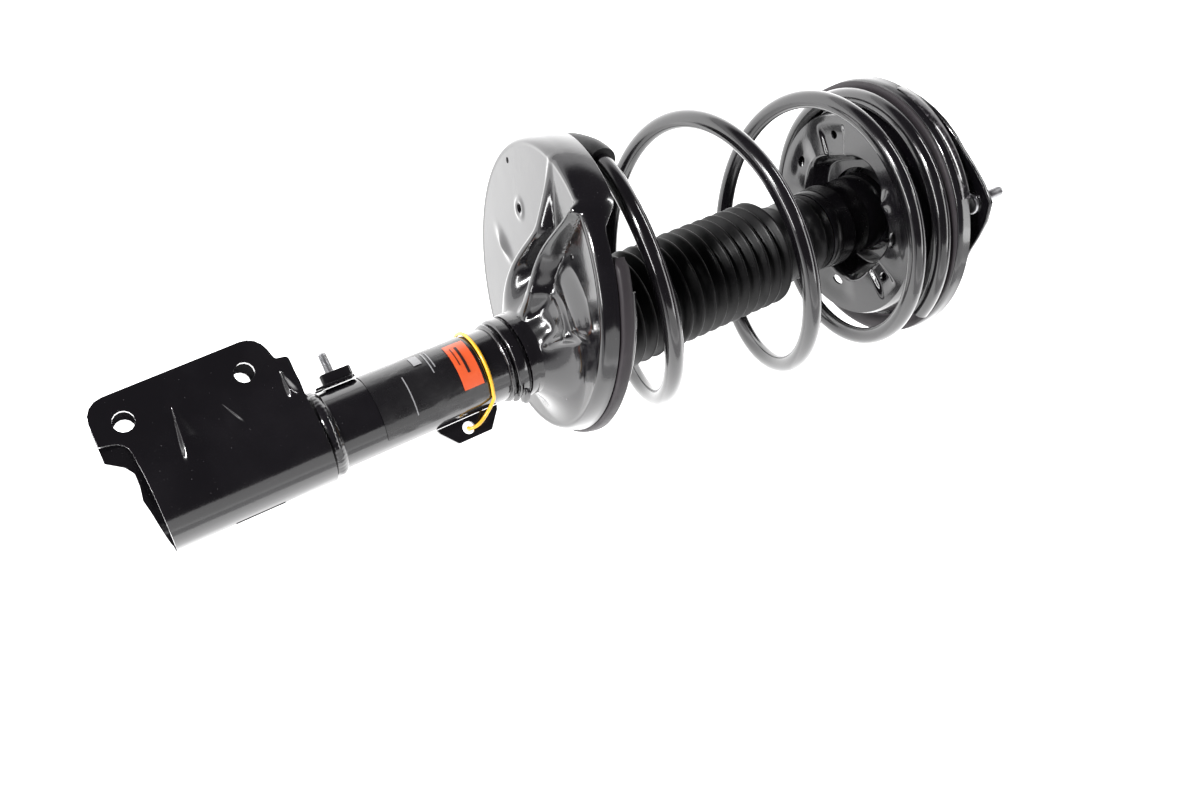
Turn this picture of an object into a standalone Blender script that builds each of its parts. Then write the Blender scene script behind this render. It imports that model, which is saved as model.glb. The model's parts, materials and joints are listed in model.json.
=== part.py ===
"""MacPherson strut assembly: damper, knuckle bracket, coil spring, boot and top mount.

Frame: the origin is the centre of the knuckle clevis, half way between its two bolt holes.
+X runs along the strut towards the top mount, +Y runs from the strut's axis to the clevis
ears, and +Z is square to the ears. Lengths are in metres.
"""
import math

import bmesh
import bpy
from mathutils import Matrix, Vector

# ---------------------------------------------------------------- driving dimensions
CLEAR = 0.0003               # gap between pieces that touch
SEG = 28                     # sides of a large round piece
SEG_SMALL = 14               # sides of a small round piece

AXIS_Y = -0.0495             # strut axis, below the clevis holes
TUBE_R = 0.0250
TUBE_WALL = 0.0022
TUBE_START = -0.0330
TUBE_END = 0.2560
CYL_R = 0.0165
CYL_WALL = 0.0012
ROD_R = 0.0110
ROD_TIP_R = 0.0070

EAR_HALF = 0.0175            # outer face of an ear from the strut's middle plane
PLATE = 0.0040               # knuckle bracket plate
HOLE_R = 0.0061
HOLE_SPACING = 0.0705
HOLE_SLOPE = math.radians(1.4)
WRAP_START = -0.0372
WRAP_END = 0.0610
WRAP_FOOT = AXIS_Y - 0.0320

LABEL_START, LABEL_END = 0.0965, 0.1670
BAND_X = 0.1705
TAB_X = 0.1510
TAB_HOLE_Y = AXIS_Y - 0.0318

SPRING_X = 0.2688            # where the spring's own frame starts, along the strut
SPRING_TILT = 0.140          # the spring's axis leans this much per metre of strut
SPRING_OFFSET = 0.0307       # and stands this far off the strut axis at SPRING_X
COIL_LEAN = 0.050            # its turns lean this much across the strut
SEAT_TILT = 0.195            # the lower seat leans a little more than the spring
UPPER_X, UPPER_TILT = 0.5137, 0.090
WIRE_R = 0.0065
COIL_LOW_R, COIL_MID_R, COIL_TOP_R = 0.0895, 0.0955, 0.0925
COIL_START, COIL_STOP = -250.0, 1240.0
LIP_LOW, LIP_HIGH = -0.0225, -0.0115   # edge of the lower seat's wall, away from and at the ears' side
LIP_R = 0.1013
SHEET = 0.0022               # pressed sheet of the lower seat
SEAT_HOLES = ((0.0880, 0.0070, 0.0022), (0.0540, 0.0066, 0.0034), (0.0000, 0.0680, 0.0022))

BOOT_START, BOOT_END = 0.2640, 0.4150
BOOT_CREST, BOOT_ROOT, BOOT_BORE = 0.0394, 0.0325, 0.0300
BOOT_FOLDS = 15
CUP_START, CUP_RIM, CUP_TOP = 0.4630, 0.4815, 0.5222

ROD_SHOULDER, ROD_TOP = 0.5305, 0.5790
MOUNT_X = 0.5448             # near face of the top mount's plate
MOUNT_PLATE = 0.0035
STUD_CIRCLE = 0.0875
STUD_ANGLES = (112.0, 232.0, 352.0)
STUD_R = 0.0040
STUD_TIP = 0.5758

# ---------------------------------------------------------------- scene and materials
for old in list(bpy.data.objects):
    bpy.data.objects.remove(old, do_unlink=True)


def material(name, color, roughness, metallic):
    """A plain Principled material."""
    made = bpy.data.materials.new(name)
    made.use_nodes = True
    shader = made.node_tree.nodes["Principled BSDF"]
    shader.inputs["Base Color"].default_value = (*color, 1.0)
    shader.inputs["Roughness"].default_value = roughness
    shader.inputs["Metallic"].default_value = metallic
    return made


PAINT = (0.012, 0.012, 0.013)
MATERIALS = {
    "black_paint": material("black_paint", PAINT, 0.25, 0.0),
    "spring_paint": material("spring_paint", (0.014, 0.014, 0.015), 0.22, 0.0),
    "rubber": material("rubber", (0.022, 0.021, 0.022), 0.75, 0.0),
    "steel": material("steel", (0.55, 0.56, 0.58), 0.35, 1.0),
    "chrome": material("chrome", (0.80, 0.81, 0.83), 0.12, 1.0),
    "plastic": material("plastic", (0.020, 0.020, 0.021), 0.45, 0.0),
    "foam": material("foam", (0.66, 0.55, 0.33), 0.85, 0.0),
    "label": material("label", (0.016, 0.016, 0.017), 0.38, 0.0),
    "orange": material("orange", (0.85, 0.20, 0.05), 0.45, 0.0),
    "yellow": material("yellow", (0.95, 0.58, 0.03), 0.45, 0.0),
}


def strut_point(x, radius=0.0, degrees=0.0):
    """A point round the strut's axis: 0 degrees is +Y and 90 degrees is +Z."""
    turn = math.radians(degrees)
    return Vector((x, AXIS_Y + radius * math.cos(turn), radius * math.sin(turn)))


def finish(name, bm, slot, origin=(0.0, 0.0, 0.0), smooth=True):
    """Turn a bmesh in world coordinates into a named object with its own origin."""
    origin = Vector(origin)
    bmesh.ops.translate(bm, verts=bm.verts, vec=-origin)
    bmesh.ops.remove_doubles(bm, verts=bm.verts, dist=1e-6)
    bmesh.ops.recalc_face_normals(bm, faces=bm.faces)
    mesh = bpy.data.meshes.new(name)
    bm.to_mesh(mesh)
    bm.free()
    mesh.materials.append(MATERIALS[slot])
    for polygon in mesh.polygons:
        polygon.use_smooth = smooth
    made = bpy.data.objects.new(name, mesh)
    made.location = origin
    bpy.context.collection.objects.link(made)
    return made


def lathe(bm, profile, matrix, segments):
    """Revolve a closed (along, radius) profile round the matrix's X axis."""
    rings = []
    for step in range(segments):
        turn = 2.0 * math.pi * step / segments
        ring = []
        for along, radius in profile:
            local = Vector((along, radius * math.cos(turn), radius * math.sin(turn)))
            ring.append(bm.verts.new(matrix @ local))
        rings.append(ring)
    count = len(profile)
    for step in range(segments):
        near, far = rings[step], rings[(step + 1) % segments]
        for k in range(count):
            nxt = (k + 1) % count
            corners = []
            for vert in (near[k], near[nxt], far[nxt], far[k]):
                if all((vert.co - other.co).length > 1e-7 for other in corners):
                    corners.append(vert)
            if len(corners) > 2:
                bm.faces.new(corners)
    return bm


STRUT = Matrix.Translation((0.0, AXIS_Y, 0.0))


def turned(name, profile, slot, matrix=STRUT, segments=SEG, origin=None):
    """A round piece from a closed profile; points on the axis have radius 0."""
    bm = bmesh.new()
    lathe(bm, profile, matrix, segments)
    return finish(name, bm, slot, matrix.translation if origin is None else origin)


def sleeve(name, start, end, outer, inner, slot, matrix=STRUT, segments=SEG):
    """A plain ring or tube along the matrix's X axis."""
    profile = [(start, inner), (start, outer), (end, outer), (end, inner)]
    return turned(name, profile, slot, matrix, segments)


def leaning_frame(x, offset, tilt, lean=0.0):
    """A frame on the strut at x: X along a leaning axis, Y towards the ears' side."""
    along = Vector((1.0, -tilt, lean)).normalized()
    across = Vector((-along.y, along.x, 0.0)).normalized()
    frame = Matrix((along, across, along.cross(across))).transposed().to_4x4()
    return Matrix.Translation((x, AXIS_Y + offset, 0.0)) @ frame


SPRING = leaning_frame(SPRING_X, SPRING_OFFSET, SPRING_TILT)
SEAT = leaning_frame(SPRING_X, SPRING_OFFSET, SEAT_TILT)
UPPER = leaning_frame(UPPER_X, 0.0, UPPER_TILT, COIL_LEAN)


def cutter(name, bm):
    """A hidden solid used by a Boolean."""
    made = finish(name, bm, "steel", smooth=False)
    made.hide_render = True
    made.display_type = "WIRE"
    return made


def bake(target, cutters):
    """Subtract the cutters, keep the result as the target's mesh and drop the cutters."""
    for tool in cutters:
        cut = target.modifiers.new(tool.name, "BOOLEAN")
        cut.operation = "DIFFERENCE"
        cut.object = tool
    bpy.context.view_layer.update()
    graph = bpy.context.evaluated_depsgraph_get()
    result = bpy.data.meshes.new_from_object(target.evaluated_get(graph))
    target.modifiers.clear()
    target.data = result
    for tool in cutters:
        bpy.data.objects.remove(tool, do_unlink=True)


def cylinder_tool(name, centre, axis, radius, length, segments=SEG_SMALL):
    """A cylinder used as a cutter, centred on a point along any axis."""
    bm = bmesh.new()
    turn = Vector((0.0, 0.0, 1.0)).rotation_difference(Vector(axis)).to_matrix().to_4x4()
    bmesh.ops.create_cone(bm, cap_ends=True, segments=segments, radius1=radius, radius2=radius,
                          depth=length, matrix=Matrix.Translation(centre) @ turn)
    return cutter(name, bm)


def box_tool(name, low, high, matrix=Matrix.Identity(4)):
    """A box used as a cutter."""
    bm = bmesh.new()
    low, high = Vector(low), Vector(high)
    place = matrix @ Matrix.Translation((low + high) / 2) @ Matrix.Diagonal((*(high - low), 1.0))
    bmesh.ops.create_cube(bm, size=1.0, matrix=place)
    return cutter(name, bm)


def rounded(points, steps=4):
    """Round the corners of a closed outline; each point is (a, b, radius)."""
    outline = []
    for k, (a, b, radius) in enumerate(points):
        corner = Vector((a, b))
        if radius <= 0.0:
            outline.append(corner)
            continue
        before = (Vector(points[k - 1][:2]) - corner).normalized()
        after = (Vector(points[(k + 1) % len(points)][:2]) - corner).normalized()
        half = before.angle(after) / 2.0
        centre = corner + (before + after).normalized() * (radius / math.sin(half))
        start = corner + before * (radius / math.tan(half))
        end = corner + after * (radius / math.tan(half))
        sweep = (start - centre).angle_signed(end - centre)
        for step in range(steps + 1):
            turn = -sweep * step / steps
            spoke = start - centre
            outline.append(centre + Vector((
                spoke.x * math.cos(turn) - spoke.y * math.sin(turn),
                spoke.x * math.sin(turn) + spoke.y * math.cos(turn))))
    return outline


def prism(bm, outline, low, high, place):
    """Extrude an (a, b) outline from low to high; place maps (a, b, c) to world."""
    bottom = [bm.verts.new(place(p[0], p[1], low)) for p in outline]
    top = [bm.verts.new(place(p[0], p[1], high)) for p in outline]
    bm.faces.new(bottom)
    bm.faces.new(list(reversed(top)))
    count = len(outline)
    for k in range(count):
        nxt = (k + 1) % count
        bm.faces.new([bottom[k], top[k], top[nxt], bottom[nxt]])
    return bm


def loft(bm, rings, closed=True):
    """Skin a list of rings of points; a closed loft joins the last ring to the first."""
    rows = [[bm.verts.new(point) for point in ring] for ring in rings]
    count = len(rows[0])
    spans = len(rows) if closed else len(rows) - 1
    for k in range(spans):
        near, far = rows[k], rows[(k + 1) % len(rows)]
        for j in range(count):
            nxt = (j + 1) % count
            bm.faces.new([near[j], near[nxt], far[nxt], far[j]])
    if not closed:
        bm.faces.new(list(reversed(rows[0])))
        bm.faces.new(rows[-1])
    return bm


def circle(matrix, along, radius, segments=SEG, offset=0.0):
    """A ring of points in a matrix's frame, its centre moved across by the offset."""
    ring = []
    for step in range(segments):
        turn = 2.0 * math.pi * step / segments
        ring.append(matrix @ Vector((along, offset + radius * math.cos(turn), radius * math.sin(turn))))
    return ring


def smooth_step(value, low, high):
    """0 below low, 1 above high and an even blend between them."""
    share = min(max((value - low) / (high - low), 0.0), 1.0)
    return share * share * (3.0 - 2.0 * share)


# ---------------------------------------------------------------- knuckle bracket
def clevis_section():
    """Cross-section of the bracket: a wrap round the tube with an ear on each side."""
    tangent = math.radians(71.0)
    lean = math.tan(math.pi / 2.0 - tangent)
    sides = []
    for grow, half in ((CLEAR + PLATE, EAR_HALF), (CLEAR, EAR_HALF - PLATE)):
        radius = TUBE_R + grow
        start = Vector((radius * math.cos(tangent), radius * math.sin(tangent)))
        knee = Vector((start.x + (start.y - half) / lean, half))
        arc = []
        steps = 18
        for step in range(steps + 1):
            turn = tangent + (2.0 * math.pi - 2.0 * tangent) * step / steps
            arc.append(Vector((radius * math.cos(turn), radius * math.sin(turn))))
        bend = [knee + Vector((0.0030, 0.0)), knee + Vector((0.0002, 0.0002)),
                knee + Vector((-0.0026, 0.0026 * lean))]
        lower = [Vector((p.x, -p.y)) for p in reversed(bend)]
        top = 0.0720
        sides.append([Vector((top, half))] + bend + arc + lower + [Vector((top, -half))])
    return sides[0] + list(reversed(sides[1]))


def clevis_outline():
    """Side view of the bracket, (x, y) about the clevis centre, as far as its longer half reaches."""
    return rounded([
        (-0.0520, 0.0158, 0.0120), (0.0500, 0.0191, 0.0130), (0.0546, 0.0022, 0.0020),
        (0.0622, 0.0010, 0.0025), (0.0622, -0.0160, 0.0), (WRAP_END, -0.0260, 0.0),
        (WRAP_END, WRAP_FOOT, 0.0), (WRAP_START, WRAP_FOOT, 0.0), (-0.0405, -0.0500, 0.0),
        (-0.0418, -0.0425, 0.0), (-0.0402, -0.0340, 0.0), (-0.0400, -0.0262, 0.0030),
        (-0.0435, -0.0211, 0.0040), (-0.0526, -0.0150, 0.0)])


def near_notch():
    """What is cut away from the half towards +Z, whose ear has the deeper notch."""
    far = WRAP_FOOT - 0.0040
    return rounded([
        (-0.0640, -0.0093, 0.0), (-0.0530, -0.0093, 0.0), (-0.0385, -0.0120, 0.0090),
        (WRAP_START, -0.0340, 0.0), (WRAP_START, far, 0.0), (-0.0640, far, 0.0)])


def knuckle_bracket():
    bm = bmesh.new()
    section = [(p.x, p.y) for p in clevis_section()]
    prism(bm, section, -0.0560, 0.0640, lambda a, b, c: Vector((c, AXIS_Y + a, b)))
    bracket = finish("knuckle_bracket", bm, "black_paint", strut_point(0.0), smooth=False)
    frame = bmesh.new()
    prism(frame, clevis_outline(), -0.0400, 0.0400, lambda a, b, c: Vector((a, b, c)))
    keep = cutter("outline", frame)
    trim = bracket.modifiers.new("outline", "BOOLEAN")
    trim.operation = "INTERSECT"
    trim.object = keep
    tools = []
    for side in (-1.0, 1.0):
        centre = hole_centre(side)
        tools.append(cylinder_tool("hole", centre, (0, 0, 1), HOLE_R, 0.08))
    turn = Matrix.Rotation(math.radians(167.0), 4, "X")
    slot = STRUT @ turn
    notch = bmesh.new()
    prism(notch, near_notch(), 0.0, 0.0400, lambda a, b, c: Vector((a, b, c)))
    tools.append(cutter("notch", notch))
    tools.append(box_tool("slot", (-0.0024, 0.0230, -0.0011), (0.0276, 0.0330, 0.0011), slot))
    bake(bracket, tools)
    bpy.data.objects.remove(keep, do_unlink=True)
    return bracket


def hole_centre(side):
    """Centre of the clevis hole at one end; side is -1 at the bottom, 1 at the top."""
    reach = side * HOLE_SPACING / 2.0
    return Vector((reach * math.cos(HOLE_SLOPE), reach * math.sin(HOLE_SLOPE), 0.0))


def bracket_stiffener():
    """Channel between the ears that closes the bracket over the tube."""
    web, flange, half = 0.0028, 0.0115, EAR_HALF - PLATE - CLEAR
    outline = [(0.0282, -half), (0.0282, half), (0.0282 + flange, half),
               (0.0282 + flange, half - web), (0.0282 + web, half - web),
               (0.0282 + web, web - half), (0.0282 + flange, web - half),
               (0.0282 + flange, -half)]
    bm = bmesh.new()
    prism(bm, outline, -0.0340, 0.0560, lambda a, b, c: Vector((c, AXIS_Y + a, b)))
    return finish("bracket_stiffener", bm, "black_paint", strut_point(0.0), smooth=False)


def weld_bead(name, start, end, outer, base=TUBE_R + CLEAR):
    """A rounded fillet of weld round the tube."""
    span = end - start
    profile = [(start, base), (start, outer), (start + 0.35 * span, outer - 0.10 * (outer - base)),
               (start + 0.75 * span, base + 0.45 * (outer - base)), (end, base + 0.0003), (end, base)]
    return turned(name, profile, "black_paint")


# ---------------------------------------------------------------- damper
def damper_body():
    sleeve("strut_tube", TUBE_START, TUBE_END, TUBE_R, TUBE_R - TUBE_WALL, "black_paint")
    bore = TUBE_R - TUBE_WALL - CLEAR
    start = TUBE_START
    turned("bottom_cap", [(start, 0.0), (start + 0.0010, 0.0160), (start + 0.0030, bore),
                          (start + 0.0060, bore), (start + 0.0050, 0.0140), (start + 0.0040, 0.0)],
           "black_paint")
    valve = start + 0.0068
    turned("base_valve", [(valve, 0.0), (valve, 0.0120), (valve + 0.0010, 0.0175),
                          (valve + 0.0050, 0.0175), (valve + 0.0050, 0.0146),
                          (valve + 0.0110, 0.0146), (valve + 0.0110, 0.0)], "steel", segments=SEG_SMALL)
    sleeve("inner_cylinder", valve + 0.0053, 0.2300, CYL_R, CYL_R - CYL_WALL, "steel")
    hole = ROD_R + CLEAR
    turned("rod_guide", [(0.2303, hole), (0.2303, 0.0180), (0.2340, bore), (0.2450, bore), (0.2450, hole)],
           "steel")
    sleeve("rod_seal", 0.2453, 0.2520, bore, hole, "rubber")
    turned("gland_cap", [(0.2340, TUBE_R + CLEAR), (0.2340, 0.0268), (0.2590, 0.0268),
                         (0.2605, 0.0250), (0.2605, hole + 0.0015), (0.2580, hole + 0.0015),
                         (0.2563, 0.0200), (0.2563, TUBE_R + CLEAR)], "black_paint")


def rod_group():
    turned("piston_rod", [(0.1830, 0.0), (0.1830, ROD_TIP_R), (0.2124, ROD_TIP_R), (0.2124, ROD_R),
                          (ROD_SHOULDER, ROD_R), (ROD_SHOULDER, ROD_TIP_R), (ROD_TOP - 0.0010, ROD_TIP_R),
                          (ROD_TOP, ROD_TIP_R - 0.0010), (ROD_TOP, 0.0)], "chrome", segments=SEG_SMALL)
    tip = ROD_TIP_R + CLEAR
    turned("piston", [(0.1964, tip), (0.1964, 0.0135), (0.1990, 0.0141), (0.2100, 0.0141),
                      (0.2121, 0.0135), (0.2121, tip)], "steel", segments=SEG_SMALL * 2)
    sleeve("piston_band", 0.1995, 0.2095, 0.0150, 0.0144, "plastic")
    hex_nut("piston_nut", 0.1880, 0.1961, 0.0110, tip, "steel")
    sleeve("rebound_stop", 0.2170, 0.2297, 0.0146, ROD_R + CLEAR, "rubber")


def hex_nut(name, start, end, across, bore, slot):
    """A hexagon nut on the strut's axis with a round bore and chamfered corners."""
    sides = 12
    rings = []
    cosine = math.cos(math.pi / 6.0)
    for along, grow in ((start, 0.94), (start + 0.0010, 1.0), (end - 0.0010, 1.0), (end, 0.94)):
        ring = []
        for step in range(sides):
            turn = 2.0 * math.pi * step / sides
            local = (turn + math.pi / 6.0) % (math.pi / 3.0) - math.pi / 6.0
            reach = min(across / math.cos(local), across / cosine * grow)
            ring.append(strut_point(along, reach, math.degrees(turn)))
        rings.append(ring)
    for along in (end, start):
        rings.append([strut_point(along, bore, 360.0 * step / sides) for step in range(sides)])
    bm = bmesh.new()
    loft(bm, rings)
    return finish(name, bm, slot, strut_point(start), smooth=False)


# ---------------------------------------------------------------- small brackets, label and band
def clip_group():
    """Cable bracket on the ears' side of the tube: pressed plate, block and stud."""
    low = AXIS_Y + TUBE_R + CLEAR
    plate = rounded([(0.0703, -0.0080, 0.0), (0.0703, -0.0050, 0.0), (0.0762, -0.0040, 0.0),
                     (0.0762, 0.0070, 0.0), (0.0703, 0.0080, 0.0), (0.0703, 0.0115, 0.0015),
                     (0.0961, 0.0115, 0.0030), (0.0961, -0.0080, 0.0030)])
    bm = bmesh.new()
    prism(bm, plate, low, low + 0.0016, lambda a, b, c: Vector((a, c, b)))
    finish("clip_plate", bm, "black_paint", (0.0830, low, 0.0), smooth=False)
    top = low + 0.0016 + CLEAR
    block = rounded([(0.0762, -0.0040, 0.0015), (0.0762, 0.0095, 0.0015),
                     (0.0958, 0.0095, 0.0015), (0.0958, -0.0040, 0.0015)], 2)
    bm = bmesh.new()
    prism(bm, block, top, top + 0.0064, lambda a, b, c: Vector((a, c, b)))
    finish("clip_block", bm, "black_paint", (0.0864, top, 0.0028), smooth=False)
    base = Vector((0.0840, top + 0.0064 + CLEAR, 0.0028))
    upright = Matrix.Translation(base) @ Matrix.Rotation(math.pi / 2.0, 4, "Z")
    turned("clip_stud", [(0.0, 0.0), (0.0, 0.0030), (0.0120, 0.0030), (0.0128, 0.0022), (0.0128, 0.0)],
           "steel", upright, SEG_SMALL)


def hose_tab():
    """Six-sided tab with a hole, welded under the tube."""
    low = AXIS_Y - TUBE_R - CLEAR
    outline = rounded([(TAB_X - 0.0200, low, 0.0), (TAB_X - 0.0188, low - 0.0030, 0.0010),
                       (TAB_X - 0.0100, low - 0.0136, 0.0015), (TAB_X + 0.0140, low - 0.0136, 0.0015),
                       (TAB_X + 0.0228, low - 0.0030, 0.0010), (TAB_X + 0.0240, low, 0.0)], 2)
    bm = bmesh.new()
    prism(bm, outline, -0.0015, 0.0015, lambda a, b, c: Vector((a, b, c)))
    tab = finish("hose_tab", bm, "black_paint", (TAB_X, low, 0.0), smooth=False)
    bake(tab, [cylinder_tool("hole", (TAB_X, TAB_HOLE_Y, 0.0), (0, 0, 1), 0.0042, 0.01)])


def wrapped_sheet(name, start, end, first, last, inner, thickness, slot):
    """A thin sheet wrapped round the tube between two angles."""
    steps = 18
    bm = bmesh.new()
    arcs = []
    for radius, order in ((inner + thickness, 1), (inner, -1)):
        turns = [first + (last - first) * k / steps for k in range(steps + 1)]
        arcs += [(radius, turn) for turn in turns[::order]]
    near = [bm.verts.new(strut_point(start, radius, turn)) for radius, turn in arcs]
    far = [bm.verts.new(strut_point(end, radius, turn)) for radius, turn in arcs]
    count = len(arcs)
    for k in range(count):
        nxt = (k + 1) % count
        bm.faces.new([near[k], far[k], far[nxt], near[nxt]])
    for row in (near, far):
        for k in range(steps):
            bm.faces.new([row[k], row[k + 1], row[count - 2 - k], row[count - 1 - k]])
    return finish(name, bm, slot, strut_point(start))


def sweep_tube(name, path, radius, slot, sides, closed=False, origin=(0.0, 0.0, 0.0)):
    """A round bar along a path of points, with level rings and flat ends."""
    rings = []
    count = len(path)
    for k, point in enumerate(path):
        ahead = path[(k + 1) % count] if closed or k + 1 < count else point
        behind = path[k - 1] if closed or k > 0 else point
        tangent = (ahead - behind).normalized()
        out = (point - strut_point(point.x)).normalized()
        out = (out - tangent * out.dot(tangent)).normalized()
        side = tangent.cross(out)
        size = radius(k) if callable(radius) else radius
        ring = []
        for step in range(sides):
            turn = 2.0 * math.pi * step / sides
            ring.append(point + out * (size * math.cos(turn)) + side * (size * math.sin(turn)))
        rings.append(ring)
    bm = bmesh.new()
    loft(bm, rings, closed)
    return finish(name, bm, slot, origin)


def tag_band():
    """Closed elastic loop round the tube and through the tab's hole."""
    size = 0.0012
    reach = TUBE_R + 2 * CLEAR + size
    path = []
    steps = 26
    for step in range(steps + 1):
        turn = -146.0 + 292.0 * step / steps
        path.append(strut_point(BAND_X - 0.0010 * abs(turn) / 146.0, reach, turn))
    hole = Vector((TAB_X, TAB_HOLE_Y, 0.0))
    leg = [Vector((0.0130, 0.0036, 0.0086)), Vector((0.0065, -0.0005, 0.0058)),
           Vector((0.0015, -0.0012, 0.0030))]
    path += [hole + p for p in leg] + [hole]
    path += [hole + Vector((p.x, p.y, -p.z)) for p in reversed(leg)]
    sweep_tube("tag_band", path, size, "yellow", 8, closed=True, origin=strut_point(BAND_X))


# ---------------------------------------------------------------- lower spring seat and spring
def lip_share(degrees):
    """1 where the lower seat's wall is high, 0 where it is low."""
    turn = (degrees + 180.0) % 360.0 - 180.0
    return smooth_step(turn, -96.0, -74.0) * (1.0 - smooth_step(turn, 74.0, 92.0))


def lip_ring(inset):
    """Edge of the lower seat's wall, a given distance in from its outside."""
    ring = []
    for step in range(SEG):
        degrees = 360.0 * step / SEG
        share = lip_share(degrees)
        along = LIP_LOW + (LIP_HIGH - LIP_LOW) * share
        radius = LIP_R + 0.0019 * share - inset
        turn = math.radians(degrees)
        ring.append(SEAT @ Vector((along, radius * math.cos(turn), radius * math.sin(turn))))
    return ring


def lower_seat():
    """Flared sleeve that opens into an eccentric dish, pressed from one sheet."""
    outer = [circle(STRUT, 0.1983, 0.0285), circle(STRUT, 0.2080, 0.0290),
             circle(STRUT, 0.2150, 0.0330, offset=0.0020), circle(STRUT, 0.2200, 0.0420, offset=0.0070),
             circle(SEAT, -0.0335, 0.0600, offset=-0.0150), circle(SEAT, -0.0335, 0.0800, offset=-0.0060),
             circle(SEAT, -0.0330, 0.0920), circle(SEAT, -0.0300, 0.0980),
             circle(SEAT, -0.0245, 0.1010), lip_ring(0.0)]
    inner = [lip_ring(SHEET), circle(SEAT, -0.0238, 0.0988),
             circle(SEAT, -0.0280, 0.0958), circle(SEAT, -0.0305, 0.0910),
             circle(SEAT, -0.0310, 0.0790, offset=-0.0060), circle(SEAT, -0.0310, 0.0585, offset=-0.0150),
             circle(STRUT, 0.2225, 0.0400, offset=0.0070), circle(STRUT, 0.2172, 0.0312, offset=0.0020),
             circle(STRUT, 0.2085, 0.0267), circle(STRUT, 0.1983, 0.0263)]
    bm = bmesh.new()
    loft(bm, outer + inner)
    seat = finish("lower_spring_seat", bm, "black_paint", strut_point(0.2200))
    along = SEAT.to_3x3() @ Vector((1.0, 0.0, 0.0))
    tools = []
    for across, up, radius in SEAT_HOLES:
        tools.append(cylinder_tool("hole", SEAT @ Vector((-0.0320, across, up)), along, radius, 0.012, 12))
    bake(seat, tools)


def arc_ring(name, profile, slot, matrix, first, last, steps):
    """A closed profile swept part of the way round an axis, with flat ends."""
    rings = []
    for step in range(steps + 1):
        turn = math.radians(first + (last - first) * step / steps)
        ring = [matrix @ Vector((along, radius * math.cos(turn), radius * math.sin(turn)))
                for along, radius in profile]
        rings.append(ring)
    bm = bmesh.new()
    loft(bm, rings, closed=False)
    return finish(name, bm, slot, matrix.translation)


COIL_RISE = ((-250.0, -0.0095), (-215.0, -0.0134), (-180.0, -0.0169), (-135.0, -0.0187),
             (-90.0, -0.0165), (-55.0, -0.0125), (-20.0, -0.0050), (40.0, 0.0088), (80.0, 0.0112),
             (110.0, 0.0165), (180.0, 0.0350), (360.0, 0.0915), (540.0, 0.1450), (720.0, 0.2005),
             (860.0, 0.2265), (960.0, 0.2375), (1020.0, 0.2430), (1080.0, 0.2425), (1170.0, 0.2470),
             (1240.0, 0.2510))


def coil_height(turn):
    """Height of the wire's centre along the spring's axis at a turn angle in degrees."""
    for k in range(len(COIL_RISE) - 1):
        (low, start), (high, end) = COIL_RISE[k], COIL_RISE[k + 1]
        if turn <= high or k == len(COIL_RISE) - 2:
            break
    slopes = []
    for j in (k, k + 1):
        left, right = COIL_RISE[max(j - 1, 0)], COIL_RISE[min(j + 1, len(COIL_RISE) - 1)]
        slopes.append((right[1] - left[1]) / (right[0] - left[0]))
    span = high - low
    t = (turn - low) / span
    return (start * (2 * t ** 3 - 3 * t ** 2 + 1) + end * (3 * t ** 2 - 2 * t ** 3)
            + span * (slopes[0] * (t ** 3 - 2 * t ** 2 + t) + slopes[1] * (t ** 3 - t ** 2)))


def coil_point(turn):
    """Centre of the spring's wire at a turn angle in degrees."""
    radius = COIL_LOW_R + (COIL_MID_R - COIL_LOW_R) * smooth_step(turn, 60.0, 260.0)
    radius += (COIL_TOP_R - COIL_MID_R) * smooth_step(turn, 700.0, 1000.0)
    across = radius * math.cos(math.radians(turn))
    up = radius * math.sin(math.radians(turn))
    return SPRING @ Vector((coil_height(turn) - COIL_LEAN * up, across, up))


def wire_piece(name, first, last, step, radius, slot, sides, bore=0.0):
    """A length of round bar on the coil's line; a bore makes it a sleeve."""
    count = max(2, round((last - first) / step))
    shells = []
    for size in (radius, bore) if bore else (radius,):
        rings = []
        for k in range(count + 1):
            turn = first + (last - first) * k / count
            centre = coil_point(turn)
            tangent = (coil_point(turn + 0.5) - coil_point(turn - 0.5)).normalized()
            hub = SPRING @ Vector((coil_height(turn), 0.0, 0.0))
            out = (centre - hub).normalized()
            out = (out - tangent * out.dot(tangent)).normalized()
            side = tangent.cross(out)
            rings.append([centre + out * (size * math.cos(2.0 * math.pi * j / sides))
                          + side * (size * math.sin(2.0 * math.pi * j / sides)) for j in range(sides)])
        shells.append(rings)
    bm = bmesh.new()
    if bore:
        loft(bm, shells[0] + list(reversed(shells[1])))
    else:
        loft(bm, shells[0], closed=False)
    return finish(name, bm, slot, SPRING.translation)


def spring_group():
    wire_piece("coil_spring", COIL_START, COIL_STOP, 12.0, WIRE_R, "spring_paint", 8)
    wire_piece("spring_end_sleeve", -72.0, 50.0, 9.0, WIRE_R + 0.0027, "rubber", 10, WIRE_R + 0.0009)
    pad = [(-0.0300, 0.0720), (-0.0300, 0.0888), (-0.0270, 0.0934), (-0.0236, 0.0964),
           (-0.0220, 0.0970), (-0.0220, 0.1028), (-0.0195, 0.1040), (-0.0145, 0.1042),
           (-0.0135, 0.1010), (-0.0150, 0.0974), (-0.0172, 0.0966), (-0.0190, 0.0930),
           (-0.0190, 0.0720)]
    arc_ring("lower_spring_pad", pad, "rubber", SEAT, 100.0, 258.0, 20)
    upper = [(0.0075, 0.0848), (0.0075, 0.0985), (0.0085, 0.0994), (0.0100, 0.0990), (0.0100, 0.0870)]
    turned("upper_spring_pad", upper, "rubber", UPPER)


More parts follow.
